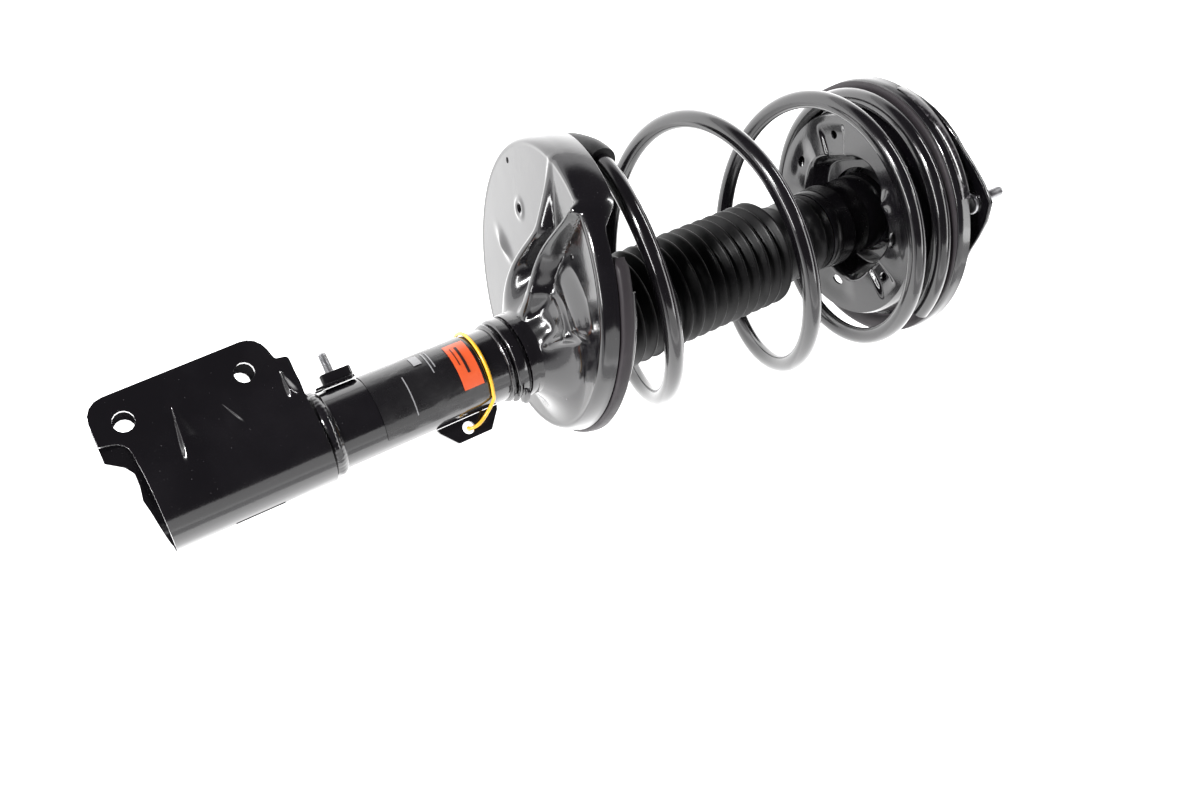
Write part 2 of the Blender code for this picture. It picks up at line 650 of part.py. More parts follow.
# ---------------------------------------------------------------- boot, cup and bump stop
def boot_group():
    pitch = (BOOT_END - BOOT_START) / BOOT_FOLDS
    outside = [(BOOT_START, BOOT_ROOT)]
    for fold in range(BOOT_FOLDS):
        outside.append((BOOT_START + (fold + 0.5) * pitch, BOOT_CREST))
        outside.append((BOOT_START + (fold + 1.0) * pitch, BOOT_ROOT))
    cuff_end = CUP_START - CLEAR
    outside += [(BOOT_END + 0.0015, 0.0305), (cuff_end, 0.0295)]
    inside = [(cuff_end, 0.0275), (BOOT_END + 0.0015, 0.0285), (BOOT_END - 0.0010, BOOT_BORE),
              (BOOT_START, BOOT_BORE)]
    turned("dust_boot", outside + inside, "rubber", segments=22)
    turned("boot_cup", [(CUP_START, 0.0285), (CUP_START, 0.0305), (CUP_RIM, 0.0317),
                        (CUP_RIM + 0.0017, 0.0302), (CUP_TOP, 0.0302), (CUP_TOP, 0.0116),
                        (CUP_TOP - 0.0027, 0.0116), (CUP_TOP - 0.0027, 0.0280)], "plastic")
    stop = CUP_TOP - 0.0027 - CLEAR
    turned("bump_stop", [(0.4190, 0.0116), (0.4190, 0.0170), (0.4300, 0.0205), (0.4390, 0.0180),
                         (0.4520, 0.0235), (0.4640, 0.0195), (0.4800, 0.0250), (0.4930, 0.0215),
                         (0.5060, 0.0262), (stop, 0.0262), (stop, 0.0116)], "foam", segments=18)


# ---------------------------------------------------------------- upper seat and top mount
def upper_seat():
    """Pressed seat: flat centre for the bearing, face, wall, tilted flange and outer skirt."""
    lower = [circle(STRUT, 0.5225, 0.0335), circle(STRUT, 0.5225, 0.0460), circle(STRUT, 0.5170, 0.0510),
             circle(UPPER, -0.0103, 0.0580), circle(UPPER, -0.0127, 0.0620), circle(UPPER, -0.0132, 0.0750),
             circle(UPPER, -0.0108, 0.0790), circle(UPPER, 0.0056, 0.0828), circle(UPPER, 0.0103, 0.0865),
             circle(UPPER, 0.0103, 0.0980), circle(UPPER, 0.0120, 0.1000), circle(UPPER, 0.0200, 0.1008)]
    upper = [circle(UPPER, 0.0200, 0.0988), circle(UPPER, 0.0124, 0.0976), circle(UPPER, 0.0124, 0.0855),
             circle(UPPER, 0.0063, 0.0806), circle(UPPER, -0.0090, 0.0770), circle(UPPER, -0.0112, 0.0742),
             circle(UPPER, -0.0108, 0.0626), circle(UPPER, -0.0083, 0.0592), circle(STRUT, 0.5188, 0.0526),
             circle(STRUT, 0.5245, 0.0474), circle(STRUT, 0.5245, 0.0335)]
    bm = bmesh.new()
    loft(bm, lower + upper)
    seat = finish("upper_spring_seat", bm, "black_paint", strut_point(0.5225))
    along = UPPER.to_3x3() @ Vector((1.0, 0.0, 0.0))
    tools = []
    for degrees in (22.0, 94.0, 166.0, 238.0, 310.0):
        turn = math.radians(degrees)
        spot = UPPER @ Vector((-0.0120, 0.0685 * math.cos(turn), 0.0685 * math.sin(turn)))
        tools.append(cylinder_tool("hole", spot, along, 0.0038, 0.010, 12))
    bake(seat, tools)


def mount_group():
    turned("bearing_lower_race", [(0.5248, 0.0365), (0.5248, 0.0475), (0.5290, 0.0475), (0.5290, 0.0452),
                                  (0.5272, 0.0420), (0.5290, 0.0388), (0.5290, 0.0365)], "steel")
    balls = [(0.5312 + 0.0026 * math.cos(2.0 * math.pi * k / 10), 0.0420 + 0.0026 * math.sin(2.0 * math.pi * k / 10))
             for k in range(10)]
    turned("bearing_ball_ring", balls, "steel")
    turned("bearing_upper_race", [(0.5345, 0.0365), (0.5345, 0.0388), (0.5352, 0.0420), (0.5345, 0.0452),
                                  (0.5345, 0.0475), (0.5400, 0.0475), (0.5400, 0.0365)], "steel")
    turned("mount_housing", [(0.5403, 0.0300), (0.5403, 0.0560), (0.5445, 0.0560), (0.5445, 0.0375),
                             (0.5610, 0.0375), (0.5610, 0.0310), (0.5590, 0.0310), (0.5590, 0.0353),
                             (0.5445, 0.0353), (0.5445, 0.0300)], "black_paint")
    sleeve("mount_rubber", 0.5448, 0.5587, 0.0350, 0.0125, "rubber")
    bore = ROD_TIP_R + CLEAR
    sleeve("mount_sleeve", ROD_SHOULDER + CLEAR, 0.5640, 0.0122, bore, "steel", segments=SEG_SMALL)
    sleeve("rebound_washer", 0.5643, 0.5668, 0.0280, bore, "steel")
    hex_nut("rod_nut", 0.5671, 0.5770, 0.0110, bore, "steel")
    mount_plate()
    for number, degrees in enumerate(STUD_ANGLES, 1):
        spot = strut_point(0.0, STUD_CIRCLE, degrees)
        place = Matrix.Translation(spot)
        head = MOUNT_X - CLEAR
        turned(f"mount_stud_{number}", [(head - 0.0030, 0.0), (head - 0.0030, 0.0070),
                                        (head - 0.0022, 0.0080), (head, 0.0080), (head, STUD_R),
                                        (STUD_TIP - 0.0010, STUD_R), (STUD_TIP, STUD_R - 0.0010),
                                        (STUD_TIP, 0.0)], "steel", place, SEG_SMALL)


def plate_reach(degrees):
    """Edge of the mount plate: a corner at each stud and one flatter side."""
    def away(centre):
        return abs((degrees - centre + 180.0) % 360.0 - 180.0)

    corner = max(0.0, 1.0 - min(away(stud) for stud in STUD_ANGLES) / 22.0)
    flat = max(0.0, math.cos(math.radians(90.0 * min(away(172.0) / 56.0, 1.0))))
    return 0.0945 + 0.0100 * corner - 0.0110 * flat


def mount_plate():
    """Three-cornered plate with a stud hole in each corner and an open centre."""
    steps = 45
    rings = []
    for along, shrink in ((MOUNT_X, 0.0006), (MOUNT_X + 0.0006, 0.0), (MOUNT_X + MOUNT_PLATE - 0.0006, 0.0),
                          (MOUNT_X + MOUNT_PLATE, 0.0006)):
        ring = []
        for step in range(steps):
            degrees = 360.0 * step / steps
            ring.append(strut_point(along, plate_reach(degrees) - shrink, degrees))
        rings.append(ring)
    for along in (MOUNT_X + MOUNT_PLATE, MOUNT_X):
        rings.append([strut_point(along, 0.0378, 360.0 * step / steps) for step in range(steps)])
    bm = bmesh.new()
    loft(bm, rings)
    plate = finish("mount_plate", bm, "black_paint", strut_point(MOUNT_X), smooth=False)
    bake(plate, [cylinder_tool("hole", strut_point(MOUNT_X, STUD_CIRCLE, degrees), (1, 0, 0),
                               STUD_R + CLEAR, 0.02, 16) for degrees in STUD_ANGLES])


knuckle_bracket()
bracket_stiffener()
weld_bead("bracket_weld", WRAP_END + CLEAR, 0.0700, 0.0288)
damper_body()
rod_group()
clip_group()
hose_tab()
wrapped_sheet("product_label", LABEL_START, LABEL_END, 6.0, 142.0, TUBE_R + CLEAR, 0.0003, "label")
wrapped_sheet("label_patch", 0.1515, 0.1655, 38.0, 114.0, TUBE_R + 0.0009, 0.0003, "orange")
tag_band()
weld_bead("seat_weld", 0.1840, 0.1880, 0.0275)
turned("seat_collar", [(0.1883, 0.0253), (0.1883, 0.0270), (0.1895, 0.0282), (0.1965, 0.0284),
                       (0.1980, 0.0275), (0.1980, 0.0253)], "black_paint")
lower_seat()
spring_group()
boot_group()
upper_seat()
mount_group()
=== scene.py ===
"""Looks of the strut assembly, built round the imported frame.

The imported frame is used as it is: origin between the clevis holes, +X along the strut to the
top mount, +Y towards the clevis ears, +Z square to them. Lengths are in metres.
"""

import json
import math

import bmesh
import bpy
from mathutils import Matrix, Vector, noise

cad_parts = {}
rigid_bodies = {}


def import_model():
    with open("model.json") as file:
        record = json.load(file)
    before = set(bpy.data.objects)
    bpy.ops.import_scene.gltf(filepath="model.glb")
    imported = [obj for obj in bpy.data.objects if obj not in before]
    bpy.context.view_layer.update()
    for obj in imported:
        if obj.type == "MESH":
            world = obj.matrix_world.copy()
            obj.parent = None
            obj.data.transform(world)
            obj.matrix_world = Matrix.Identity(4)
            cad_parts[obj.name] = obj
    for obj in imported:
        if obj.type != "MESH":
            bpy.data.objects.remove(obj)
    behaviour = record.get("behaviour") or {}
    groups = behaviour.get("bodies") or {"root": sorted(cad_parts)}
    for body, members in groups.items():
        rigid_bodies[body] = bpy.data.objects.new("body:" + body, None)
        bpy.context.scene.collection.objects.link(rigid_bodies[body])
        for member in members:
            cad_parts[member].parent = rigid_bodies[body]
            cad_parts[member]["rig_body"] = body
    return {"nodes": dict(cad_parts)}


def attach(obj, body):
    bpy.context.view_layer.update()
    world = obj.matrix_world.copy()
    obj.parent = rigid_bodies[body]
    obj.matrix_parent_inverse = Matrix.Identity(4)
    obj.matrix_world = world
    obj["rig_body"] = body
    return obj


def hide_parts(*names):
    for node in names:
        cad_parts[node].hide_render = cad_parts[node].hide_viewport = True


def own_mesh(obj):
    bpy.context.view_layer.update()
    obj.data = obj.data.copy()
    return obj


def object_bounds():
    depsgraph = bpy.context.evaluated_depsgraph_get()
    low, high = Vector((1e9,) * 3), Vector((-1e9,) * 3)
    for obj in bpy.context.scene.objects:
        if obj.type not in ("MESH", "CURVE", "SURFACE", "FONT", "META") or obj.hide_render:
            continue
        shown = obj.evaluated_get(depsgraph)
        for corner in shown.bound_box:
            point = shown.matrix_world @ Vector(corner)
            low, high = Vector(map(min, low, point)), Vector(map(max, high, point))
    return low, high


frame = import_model()
cad_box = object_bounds()
NODES = frame["nodes"]

# ---------------------------------------------------------------- dimensions of the strut
AXIS_Y = -0.0495             # the strut's axis, below the clevis holes
TUBE_R = 0.0250
SPRING_X, SPRING_OFFSET = 0.2688, 0.0307
COIL_LEAN = 0.050            # lean of the coil's turns across the strut
SPRING_TILT, SEAT_TILT, UPPER_TILT = 0.140, 0.195, 0.090     # slope of each axis away from the ears
UPPER_X = 0.5137
WIRE_R = 0.0065
WIRE_SIDES, WIRE_STEP = 24, 2.5
COIL_LOW_R, COIL_MID_R, COIL_TOP_R = 0.0895, 0.0955, 0.0925
# turn angle in degrees, height along the spring's axis
COIL_RISE = ((-250.0, -0.0095), (-215.0, -0.0134), (-180.0, -0.0169), (-135.0, -0.0187),
             (-90.0, -0.0165), (-55.0, -0.0125), (-20.0, -0.0050), (40.0, 0.0088), (80.0, 0.0112),
             (110.0, 0.0165), (180.0, 0.0350), (360.0, 0.0915), (540.0, 0.1450), (720.0, 0.2005),
             (860.0, 0.2265), (960.0, 0.2375), (1020.0, 0.2430), (1080.0, 0.2425), (1170.0, 0.2470),
             (1240.0, 0.2510))
COIL_SPLITS = (-250.0, 35.0, 860.0, 1240.0)      # dead turn, working turns, end turn
STUD_CIRCLE = 0.0875
STUD_ANGLES = (112.0, 232.0, 352.0)
MOUNT_X = 0.5448             # spring side of the mount plate
SHEET = Vector((0.0018, 0.0, 0.0))               # thickness of both seats' pressed sheet


def leaning_frame(x, offset, tilt, lean=0.0):
    """A frame on the strut at x: X along a leaning axis, Y towards the ears' side."""
    along = Vector((1.0, -tilt, lean)).normalized()
    across = Vector((-along.y, along.x, 0.0)).normalized()
    turn = Matrix((along, across, along.cross(across))).transposed().to_4x4()
    return Matrix.Translation((x, AXIS_Y + offset, 0.0)) @ turn


STRUT = Matrix.Translation((0.0, AXIS_Y, 0.0))
SPRING = leaning_frame(SPRING_X, SPRING_OFFSET, SPRING_TILT)
SEAT = leaning_frame(SPRING_X, SPRING_OFFSET, SEAT_TILT)
UPPER = leaning_frame(UPPER_X, 0.0, UPPER_TILT, COIL_LEAN)


# ---------------------------------------------------------------- materials
class Finish:
    """A Principled material under construction."""

    def __init__(self, name, color, roughness, metallic=0.0, coat=0.0, coat_roughness=0.06):
        self.material = bpy.data.materials.new(name)
        self.material.use_nodes = True
        self.tree = self.material.node_tree
        self.shader = self.tree.nodes["Principled BSDF"]
        self.set("Base Color", (*color, 1.0))
        self.set("Roughness", roughness)
        self.set("Metallic", metallic)
        self.set("Coat Weight", coat)
        self.set("Coat Roughness", coat_roughness)
        self.color = color
        self.height = None
        self.place = self.tree.nodes.new("ShaderNodeTexCoord").outputs["Object"]

    def set(self, socket, value):
        self.shader.inputs[socket].default_value = value

    def noise(self, scale, detail=3.0, stretch=None):
        """A noise value between 0 and 1 in object space."""
        node = self.tree.nodes.new("ShaderNodeTexNoise")
        node.inputs["Scale"].default_value = scale
        node.inputs["Detail"].default_value = detail
        node.inputs["Roughness"].default_value = 0.55
        place = self.place
        if stretch:
            mapping = self.tree.nodes.new("ShaderNodeMapping")
            mapping.inputs["Scale"].default_value = stretch
            self.tree.links.new(self.place, mapping.inputs["Vector"])
            place = mapping.outputs["Vector"]
        self.tree.links.new(place, node.inputs["Vector"])
        return node.outputs["Fac"]

    def pointiness(self):
        """Convexity of the surface, about 0.5 where it is flat."""
        return self.tree.nodes.new("ShaderNodeNewGeometry").outputs["Pointiness"]

    def between(self, value, low, high, out_low=0.0, out_high=1.0):
        """Map a value from low..high to out_low..out_high, clamped."""
        node = self.tree.nodes.new("ShaderNodeMapRange")
        limits = (("From Min", low), ("From Max", high), ("To Min", out_low), ("To Max", out_high))
        for name, number in limits:
            node.inputs[name].default_value = number
        self.tree.links.new(value, node.inputs["Value"])
        return node.outputs["Result"]

    def math(self, operation, left, right):
        """Combine two values, each a socket or a float."""
        node = self.tree.nodes.new("ShaderNodeMath")
        node.operation = operation
        for socket, value in zip(node.inputs, (left, right)):
            if isinstance(value, float):
                socket.default_value = value
            else:
                self.tree.links.new(value, socket)
        return node.outputs["Value"]

    def tint(self, value, color):
        """Mix the base colour towards another colour by a value."""
        node = self.tree.nodes.new("ShaderNodeMix")
        node.data_type = "RGBA"
        self.tree.links.new(value, node.inputs["Factor"])
        socket = self.shader.inputs["Base Color"]
        if socket.is_linked:
            self.tree.links.new(socket.links[0].from_socket, node.inputs["A"])
        else:
            node.inputs["A"].default_value = (*self.color, 1.0)
        node.inputs["B"].default_value = (*color, 1.0)
        self.tree.links.new(node.outputs["Result"], socket)

    def vary_roughness(self, value, low, high):
        """Let the roughness run from low to high with a value."""
        self.tree.links.new(self.between(value, 0.3, 0.7, low, high), self.shader.inputs["Roughness"])

    def bump(self, value, distance):
        """Add a height field, in metres, on top of the ones already there."""
        node = self.tree.nodes.new("ShaderNodeBump")
        node.inputs["Strength"].default_value = 1.0
        node.inputs["Distance"].default_value = distance
        self.tree.links.new(value, node.inputs["Height"])
        if self.height is not None:
            self.tree.links.new(self.height, node.inputs["Normal"])
        self.height = node.outputs["Normal"]
        for name in ("Normal", "Coat Normal"):
            self.tree.links.new(self.height, self.shader.inputs[name])


def paint(name, color, peel, specks):
    """Gloss black paint: faint orange peel, dull patches, a few dust nibs and rubbed edges."""
    made = Finish(name, color, 0.17, coat=0.9, coat_roughness=0.09)
    made.vary_roughness(made.noise(38.0, 4.0), 0.13, 0.22)
    made.tint(made.between(made.noise(22.0, 5.0), 0.45, 0.75, 0.0, 0.5), (0.012, 0.011, 0.013))
    edge = made.math("MULTIPLY", made.between(made.pointiness(), 0.56, 0.66),
                     made.between(made.noise(260.0, 3.0), 0.50, 0.62))
    made.tint(edge, (0.16, 0.15, 0.16))
    made.tint(made.between(made.noise(900.0, 1.0), 0.79, 0.81, 0.0, specks), (0.20, 0.19, 0.20))
    made.bump(made.noise(420.0, 2.0), 0.00002 * peel)
    made.bump(made.noise(45.0, 2.0), 0.00010 * peel)
    return made.material


def soft_black(name, color, roughness, grain):
    """Moulded rubber or plastic: fine grain, dusty bloom and a painted highlight along its sharp ridges."""
    made = Finish(name, color, roughness)
    made.set("Specular IOR Level", 0.22)
    made.vary_roughness(made.noise(80.0, 4.0), roughness - 0.08, roughness + 0.10)
    made.tint(made.between(made.noise(30.0, 5.0), 0.52, 0.78, 0.0, 0.5), tuple(2.0 * c for c in color))
    # painted highlight: sharp convex ridges, such as the boot's crests, get a base colour up to ten times
    # paler, standing in for thin highlight lines
    made.tint(made.between(made.pointiness(), 0.56, 0.66, 0.0, 0.8), tuple(10.0 * c for c in color))
    made.bump(made.noise(700.0, 3.0), 0.00004 * grain)
    return made.material


def metal(name, color, roughness, grain=1.0, stretch=None):
    """Bare or plated metal: brushed grain, stains and brighter edges."""
    made = Finish(name, color, roughness, metallic=1.0)
    made.vary_roughness(made.noise(140.0, 4.0), roughness - 0.08, roughness + 0.12)
    made.tint(made.between(made.noise(70.0, 5.0), 0.50, 0.75, 0.0, 0.6), tuple(0.55 * c for c in color))
    made.tint(made.between(made.pointiness(), 0.54, 0.62), tuple(min(1.0, 1.3 * c) for c in color))
    made.bump(made.noise(900.0, 2.0, stretch=stretch), 0.00003 * grain)
    return made.material


def label_finish(name, color, second, roughness):
    """Printed film: satin, with creases and a second ink showing in soft patches."""
    made = Finish(name, color, roughness, coat=0.6, coat_roughness=0.12)
    made.vary_roughness(made.noise(50.0, 4.0), roughness - 0.06, roughness + 0.12)
    made.tint(made.between(made.noise(180.0, 2.0), 0.55, 0.75, 0.0, 0.4), second)
    made.bump(made.noise(95.0, 3.0, stretch=(0.5, 1.6, 1.6)), 0.00018)
    made.bump(made.noise(600.0, 2.0), 0.00003)
    return made.material


def foam_finish():
    """Open-celled bump-stop foam, darker in patches."""
    made = Finish("foam_look", (0.60, 0.47, 0.24), 0.85)
    made.tint(made.between(made.noise(60.0, 5.0), 0.40, 0.70), (0.42, 0.31, 0.15))
    made.bump(made.noise(500.0, 4.0), 0.00030)
    made.vary_roughness(made.noise(120.0, 3.0), 0.75, 0.95)
    return made.material


LOOKS = {
    "black_paint": paint("black_paint_look", (0.0036, 0.0032, 0.0042), 1.0, 0.8),
    "spring_paint": paint("spring_paint_look", (0.0030, 0.0026, 0.0034), 0.20, 0.2),
    "rubber": soft_black("rubber_look", (0.0016, 0.0015, 0.0018), 0.36, 0.8),
    "plastic": soft_black("plastic_look", (0.0022, 0.0020, 0.0025), 0.20, 0.4),
    "lip": soft_black("lip_look", (0.030, 0.026, 0.029), 0.40, 1.0),
    "steel": metal("steel_look", (0.48, 0.48, 0.49), 0.32),
    "chrome": metal("chrome_look", (0.72, 0.73, 0.75), 0.14, 0.3, (1.0, 20.0, 20.0)),
    "foam": foam_finish(),
    "label": label_finish("label_look", (0.0075, 0.0070, 0.0080), (0.016, 0.015, 0.016), 0.26),
    "orange": label_finish("orange_look", (0.83, 0.115, 0.030), (0.90, 0.17, 0.06), 0.36),
    "ink": label_finish("ink_look", (0.30, 0.30, 0.31), (0.18, 0.18, 0.19), 0.40),
    "dark_ink": label_finish("dark_ink_look", (0.030, 0.012, 0.010), (0.05, 0.02, 0.015), 0.40),
    "yellow": label_finish("yellow_look", (0.95, 0.50, 0.02), (0.98, 0.60, 0.06), 0.34),
}


# ---------------------------------------------------------------- mesh helpers
def piece(name, bm, look, body, replaces=(), angle=35.0):
    """Turn a bmesh into a named piece that rides on a body and may stand for CAD nodes."""
    bmesh.ops.remove_doubles(bm, verts=bm.verts, dist=1e-6)
    bmesh.ops.recalc_face_normals(bm, faces=bm.faces)
    mesh = bpy.data.meshes.new(name)
    bm.to_mesh(mesh)
    bm.free()
    made = bpy.data.objects.new(name, mesh)
    bpy.context.scene.collection.objects.link(made)
    mesh.materials.append(LOOKS[look])
    smooth(made, angle)
    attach(made, body)
    if replaces:
        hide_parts(*replaces)
    return made


def smooth(made, angle):
    """Smooth shading that keeps edges sharper than the angle, in degrees."""
    made.data.polygons.foreach_set("use_smooth", [True] * len(made.data.polygons))
    made.data.set_sharp_from_angle(angle=math.radians(angle))


def bake(made):
    """Keep the result of the object's modifiers as its mesh."""
    bpy.context.view_layer.update()
    graph = bpy.context.evaluated_depsgraph_get()
    result = bpy.data.meshes.new_from_object(made.evaluated_get(graph))
    made.modifiers.clear()
    made.data = result


def grid(bm, rows, wrap=True, cap=False):
    """Skin rows of points; wrap joins each row's ends."""
    lines = [[bm.verts.new(point) for point in row] for row in rows]
    count = len(lines[0])
    for near, far in zip(lines, lines[1:]):
        for k in range(count if wrap else count - 1):
            nxt = (k + 1) % count
            bm.faces.new([near[k], near[nxt], far[nxt], far[k]])
    if cap:
        bm.faces.new(list(reversed(lines[0])))
        bm.faces.new(lines[-1])
    return bm


def slab(top, bottom):
    """A closed thin body between two sheets of points laid out alike."""
    bm = bmesh.new()
    for sheet in (top, bottom):
        grid(bm, sheet, wrap=False)
    for side in (0, -1):
        grid(bm, [top[side], bottom[side]], wrap=False)
        grid(bm, [[row[side] for row in sheet] for sheet in (top, bottom)], wrap=False)
    return bm


def spun(profile, matrix=STRUT, steps=112, ripple=None, closed=True):
    """Revolve (along, radius) points round a matrix's X axis; ripple moves a point outwards."""
    rows = []
    for along, radius in profile:
        row = []
        for step in range(steps):
            turn = 2.0 * math.pi * step / steps
            reach = radius + (ripple(along, turn) if ripple else 0.0)
            row.append(matrix @ Vector((along, reach * math.cos(turn), reach * math.sin(turn))))
        rows.append(row)
    if closed:
        rows.append(rows[0])
    return grid(bmesh.new(), rows)


def smooth_step(value, low, high):
    """A soft rise from 0 at low to 1 at high."""
    share = min(max((value - low) / (high - low), 0.0), 1.0)
    return share * share * (3.0 - 2.0 * share)


def hump(value, centre, width):
    """A bell of height 1 round the centre."""
    return math.exp(-((value - centre) / width) ** 2)


def turn_gap(a, b):
    """Signed difference of two angles in degrees."""
    return (a - b + 180.0) % 360.0 - 180.0


def dressed(node, look, width=0.0005, segments=2, angle=30.0):
    """The CAD node's own shape with rounded edges."""
    body = NODES[node]["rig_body"]
    bm = bmesh.new()
    bm.from_mesh(NODES[node].data)
    bmesh.ops.remove_doubles(bm, verts=bm.verts, dist=1e-5)
    bmesh.ops.dissolve_limit(bm, angle_limit=math.radians(1.0), verts=bm.verts, edges=bm.edges)
    made = piece(f"{node}_look", bm, look, body, (node,), angle)
    bevel = made.modifiers.new("edges", "BEVEL")
    bevel.width = width
    bevel.segments = segments
    bevel.limit_method = "ANGLE"
    bevel.angle_limit = math.radians(angle)
    bevel.harden_normals = True
    bake(made)


# ---------------------------------------------------------------- knuckle bracket
EAR_HALF = 0.0175            # outer face of an ear from the strut's middle plane
KNEE_Y, FLARE = -0.0103, 0.3443          # height where the ears start to spread, and their slope there
WRAP_TOP_Y, WRAP_R = -0.0400, 0.0293     # below this height the bracket runs round the tube
FOLD_STEPS = 60
FOLD_SINK, FOLD_BACK = 0.00008, 0.0010       # how far a fold's front and back lie under the ear's face
# apex x, apex y, foot y, lean of the crest, rise, half-width at the foot, share of the steep flank
FOLDS = ((-0.0080, -0.0020, -0.0400, 0.0035, 0.0034, 0.0130, 0.16),
         (0.0150, -0.0095, -0.0320, 0.0040, 0.0012, 0.0080, 0.75),
         (0.0545, -0.0050, -0.0270, 0.0015, 0.0026, 0.0060, 0.35))


def side_reach(y):
    """Distance of the bracket's outer surface from the middle plane at a height."""
    if y > KNEE_Y:
        return EAR_HALF
    if y > WRAP_TOP_Y:
        return EAR_HALF + FLARE * (KNEE_Y - y)
    return math.sqrt(max(WRAP_R ** 2 - (y - AXIS_Y) ** 2, 0.0))


def fold_height(across, down, steep):
    """Cross-section of a pressed fold: one short flank, one long flank, fading out at both ends."""
    rise_share, foot_share = 0.55, 0.42
    fade = min(1.0, down / rise_share) * smooth_step(1.0 - down, 0.0, foot_share)
    crest = 2.0 * steep - 1.0
    if across < crest:
        return fade * smooth_step(across, -1.0, crest)
    return fade * (1.0 - smooth_step(across, crest, 1.0))


def knuckle_bracket():
    """The bracket with rounded edges and pressed stiffening folds on its ears."""
    dressed("knuckle_bracket", "black_paint", 0.0011, 3, 28.0)
    dressed("bracket_stiffener", "black_paint", 0.0006)
    for side in (1.0, -1.0):
        for number, (x, top, foot, lean, rise, wide, steep) in enumerate(FOLDS, 1):
            rows, backs = [], []
            for k in range(FOLD_STEPS + 1):
                down = k / FOLD_STEPS
                y = top + (foot - top) * down
                half = wide * (0.10 + 0.90 * down)
                row = []
                for j in range(FOLD_STEPS + 1):
                    across = -1.0 + 2.0 * j / FOLD_STEPS
                    reach = side_reach(y) + rise * fold_height(across, down, steep) - FOLD_SINK
                    row.append(Vector((x + lean * down + half * across, y, side * reach)))
                rows.append(row)
                backs.append([Vector((p.x, p.y, side * (side_reach(p.y) - FOLD_BACK))) for p in row])
            piece(f"ear_fold_{number}_{'near' if side > 0 else 'far'}", slab(rows, backs),
                  "black_paint", "strut_body", angle=60.0)


# ---------------------------------------------------------------- tube, welds and small parts
def weld(name, node, start, end, outer, beads, rough=1.0):
    """A weld run of overlapping ripples round the tube."""
    bead_rise, wander_rise = 0.00012, 0.0006
    toe, fullness = 0.12, 0.75

    def ripple(along, turn):
        share = math.sin(math.pi * min(max((along - start) / (end - start), 0.0), 1.0))
        beat = abs(math.sin(0.5 * beads * turn + 260.0 * along))
        wander = noise.noise(Vector((5.0 * math.cos(turn), 5.0 * math.sin(turn), 40.0 * along)))
        return rough * share * (bead_rise * beat + wander_rise * wander)

    count = 14
    profile = [(start, TUBE_R)]
    for k in range(count + 1):
        share = k / count
        swell = math.sin(math.pi * (toe + (1.0 - toe) * share)) ** fullness
        profile.append((start + (end - start) * share, TUBE_R + (outer - TUBE_R) * swell))
    profile.append((end, TUBE_R))
    piece(name, spun(profile, steps=360, ripple=ripple), "black_paint", "strut_body", (node,), 80.0)


def tube_parts():
    """The damper's tube with its welds, collar, cap and clips."""
    inner, chamfer, start, end = TUBE_R - 0.0022, 0.0004, -0.0330, 0.2560
    wall = [(start, inner), (start, TUBE_R - chamfer), (start + chamfer, TUBE_R), (0.0600, TUBE_R),
            (0.1600, TUBE_R), (end - chamfer, TUBE_R), (end, TUBE_R - chamfer), (end, inner)]
    piece("tube_look", spun(wall), "black_paint", "strut_body", ("strut_tube",))
    weld("bracket_weld_look", "bracket_weld", 0.0612, 0.0702, 0.0283, beads=58)
    weld("seat_weld_look", "seat_weld", 0.1838, 0.1880, 0.0272, beads=70, rough=0.5)
    collar = [(0.1883, 0.0252), (0.1883, 0.0266), (0.1887, 0.0276), (0.1896, 0.0282), (0.1905, 0.0284),
              (0.1950, 0.0284), (0.1970, 0.0282), (0.1978, 0.0276), (0.1980, 0.0266), (0.1980, 0.0252)]
    piece("seat_collar_look", spun(collar), "black_paint", "strut_body", ("seat_collar",), 60.0)
    dressed("gland_cap", "black_paint", 0.0004)
    dressed("clip_plate", "black_paint", 0.0004)
    dressed("clip_block", "black_paint", 0.0007, 3)
    dressed("hose_tab", "black_paint", 0.0004)
    thread("clip_stud_look", "clip_stud", Vector((0.0840, AXIS_Y + 0.0336, 0.0028)), (0.0, 1.0, 0.0),
           0.0130, 0.0030, 0.0010, "steel", "strut_body")


def thread(name, node, base, axis, length, radius, pitch, look, body):
    """A threaded stud with a chamfered tip."""
    depth, run_in, tip_cut, tip_length = 0.55 * pitch, 0.0012, 0.0009, 0.0011
    turn = Vector((1.0, 0.0, 0.0)).rotation_difference(Vector(axis)).to_matrix().to_4x4()
    place = Matrix.Translation(base) @ turn
    rows, steps, rows_per_turn = [], 28, 12
    count = int(length / pitch * rows_per_turn)
    for k in range(count + 1):
        along = length * k / count
        row = []
        for step in range(steps):
            angle = 2.0 * math.pi * step / steps
            wave = abs(((along / pitch - step / steps) % 1.0) * 2.0 - 1.0)
            reach = radius - depth * (1.0 - wave) * smooth_step(along, 0.0, run_in)
            reach -= tip_cut * smooth_step(along, length - tip_length, length)
            row.append(place @ Vector((along, reach * math.cos(angle), reach * math.sin(angle))))
        rows.append(row)
    piece(name, grid(bmesh.new(), rows, cap=True), look, body, (node,), 60.0)


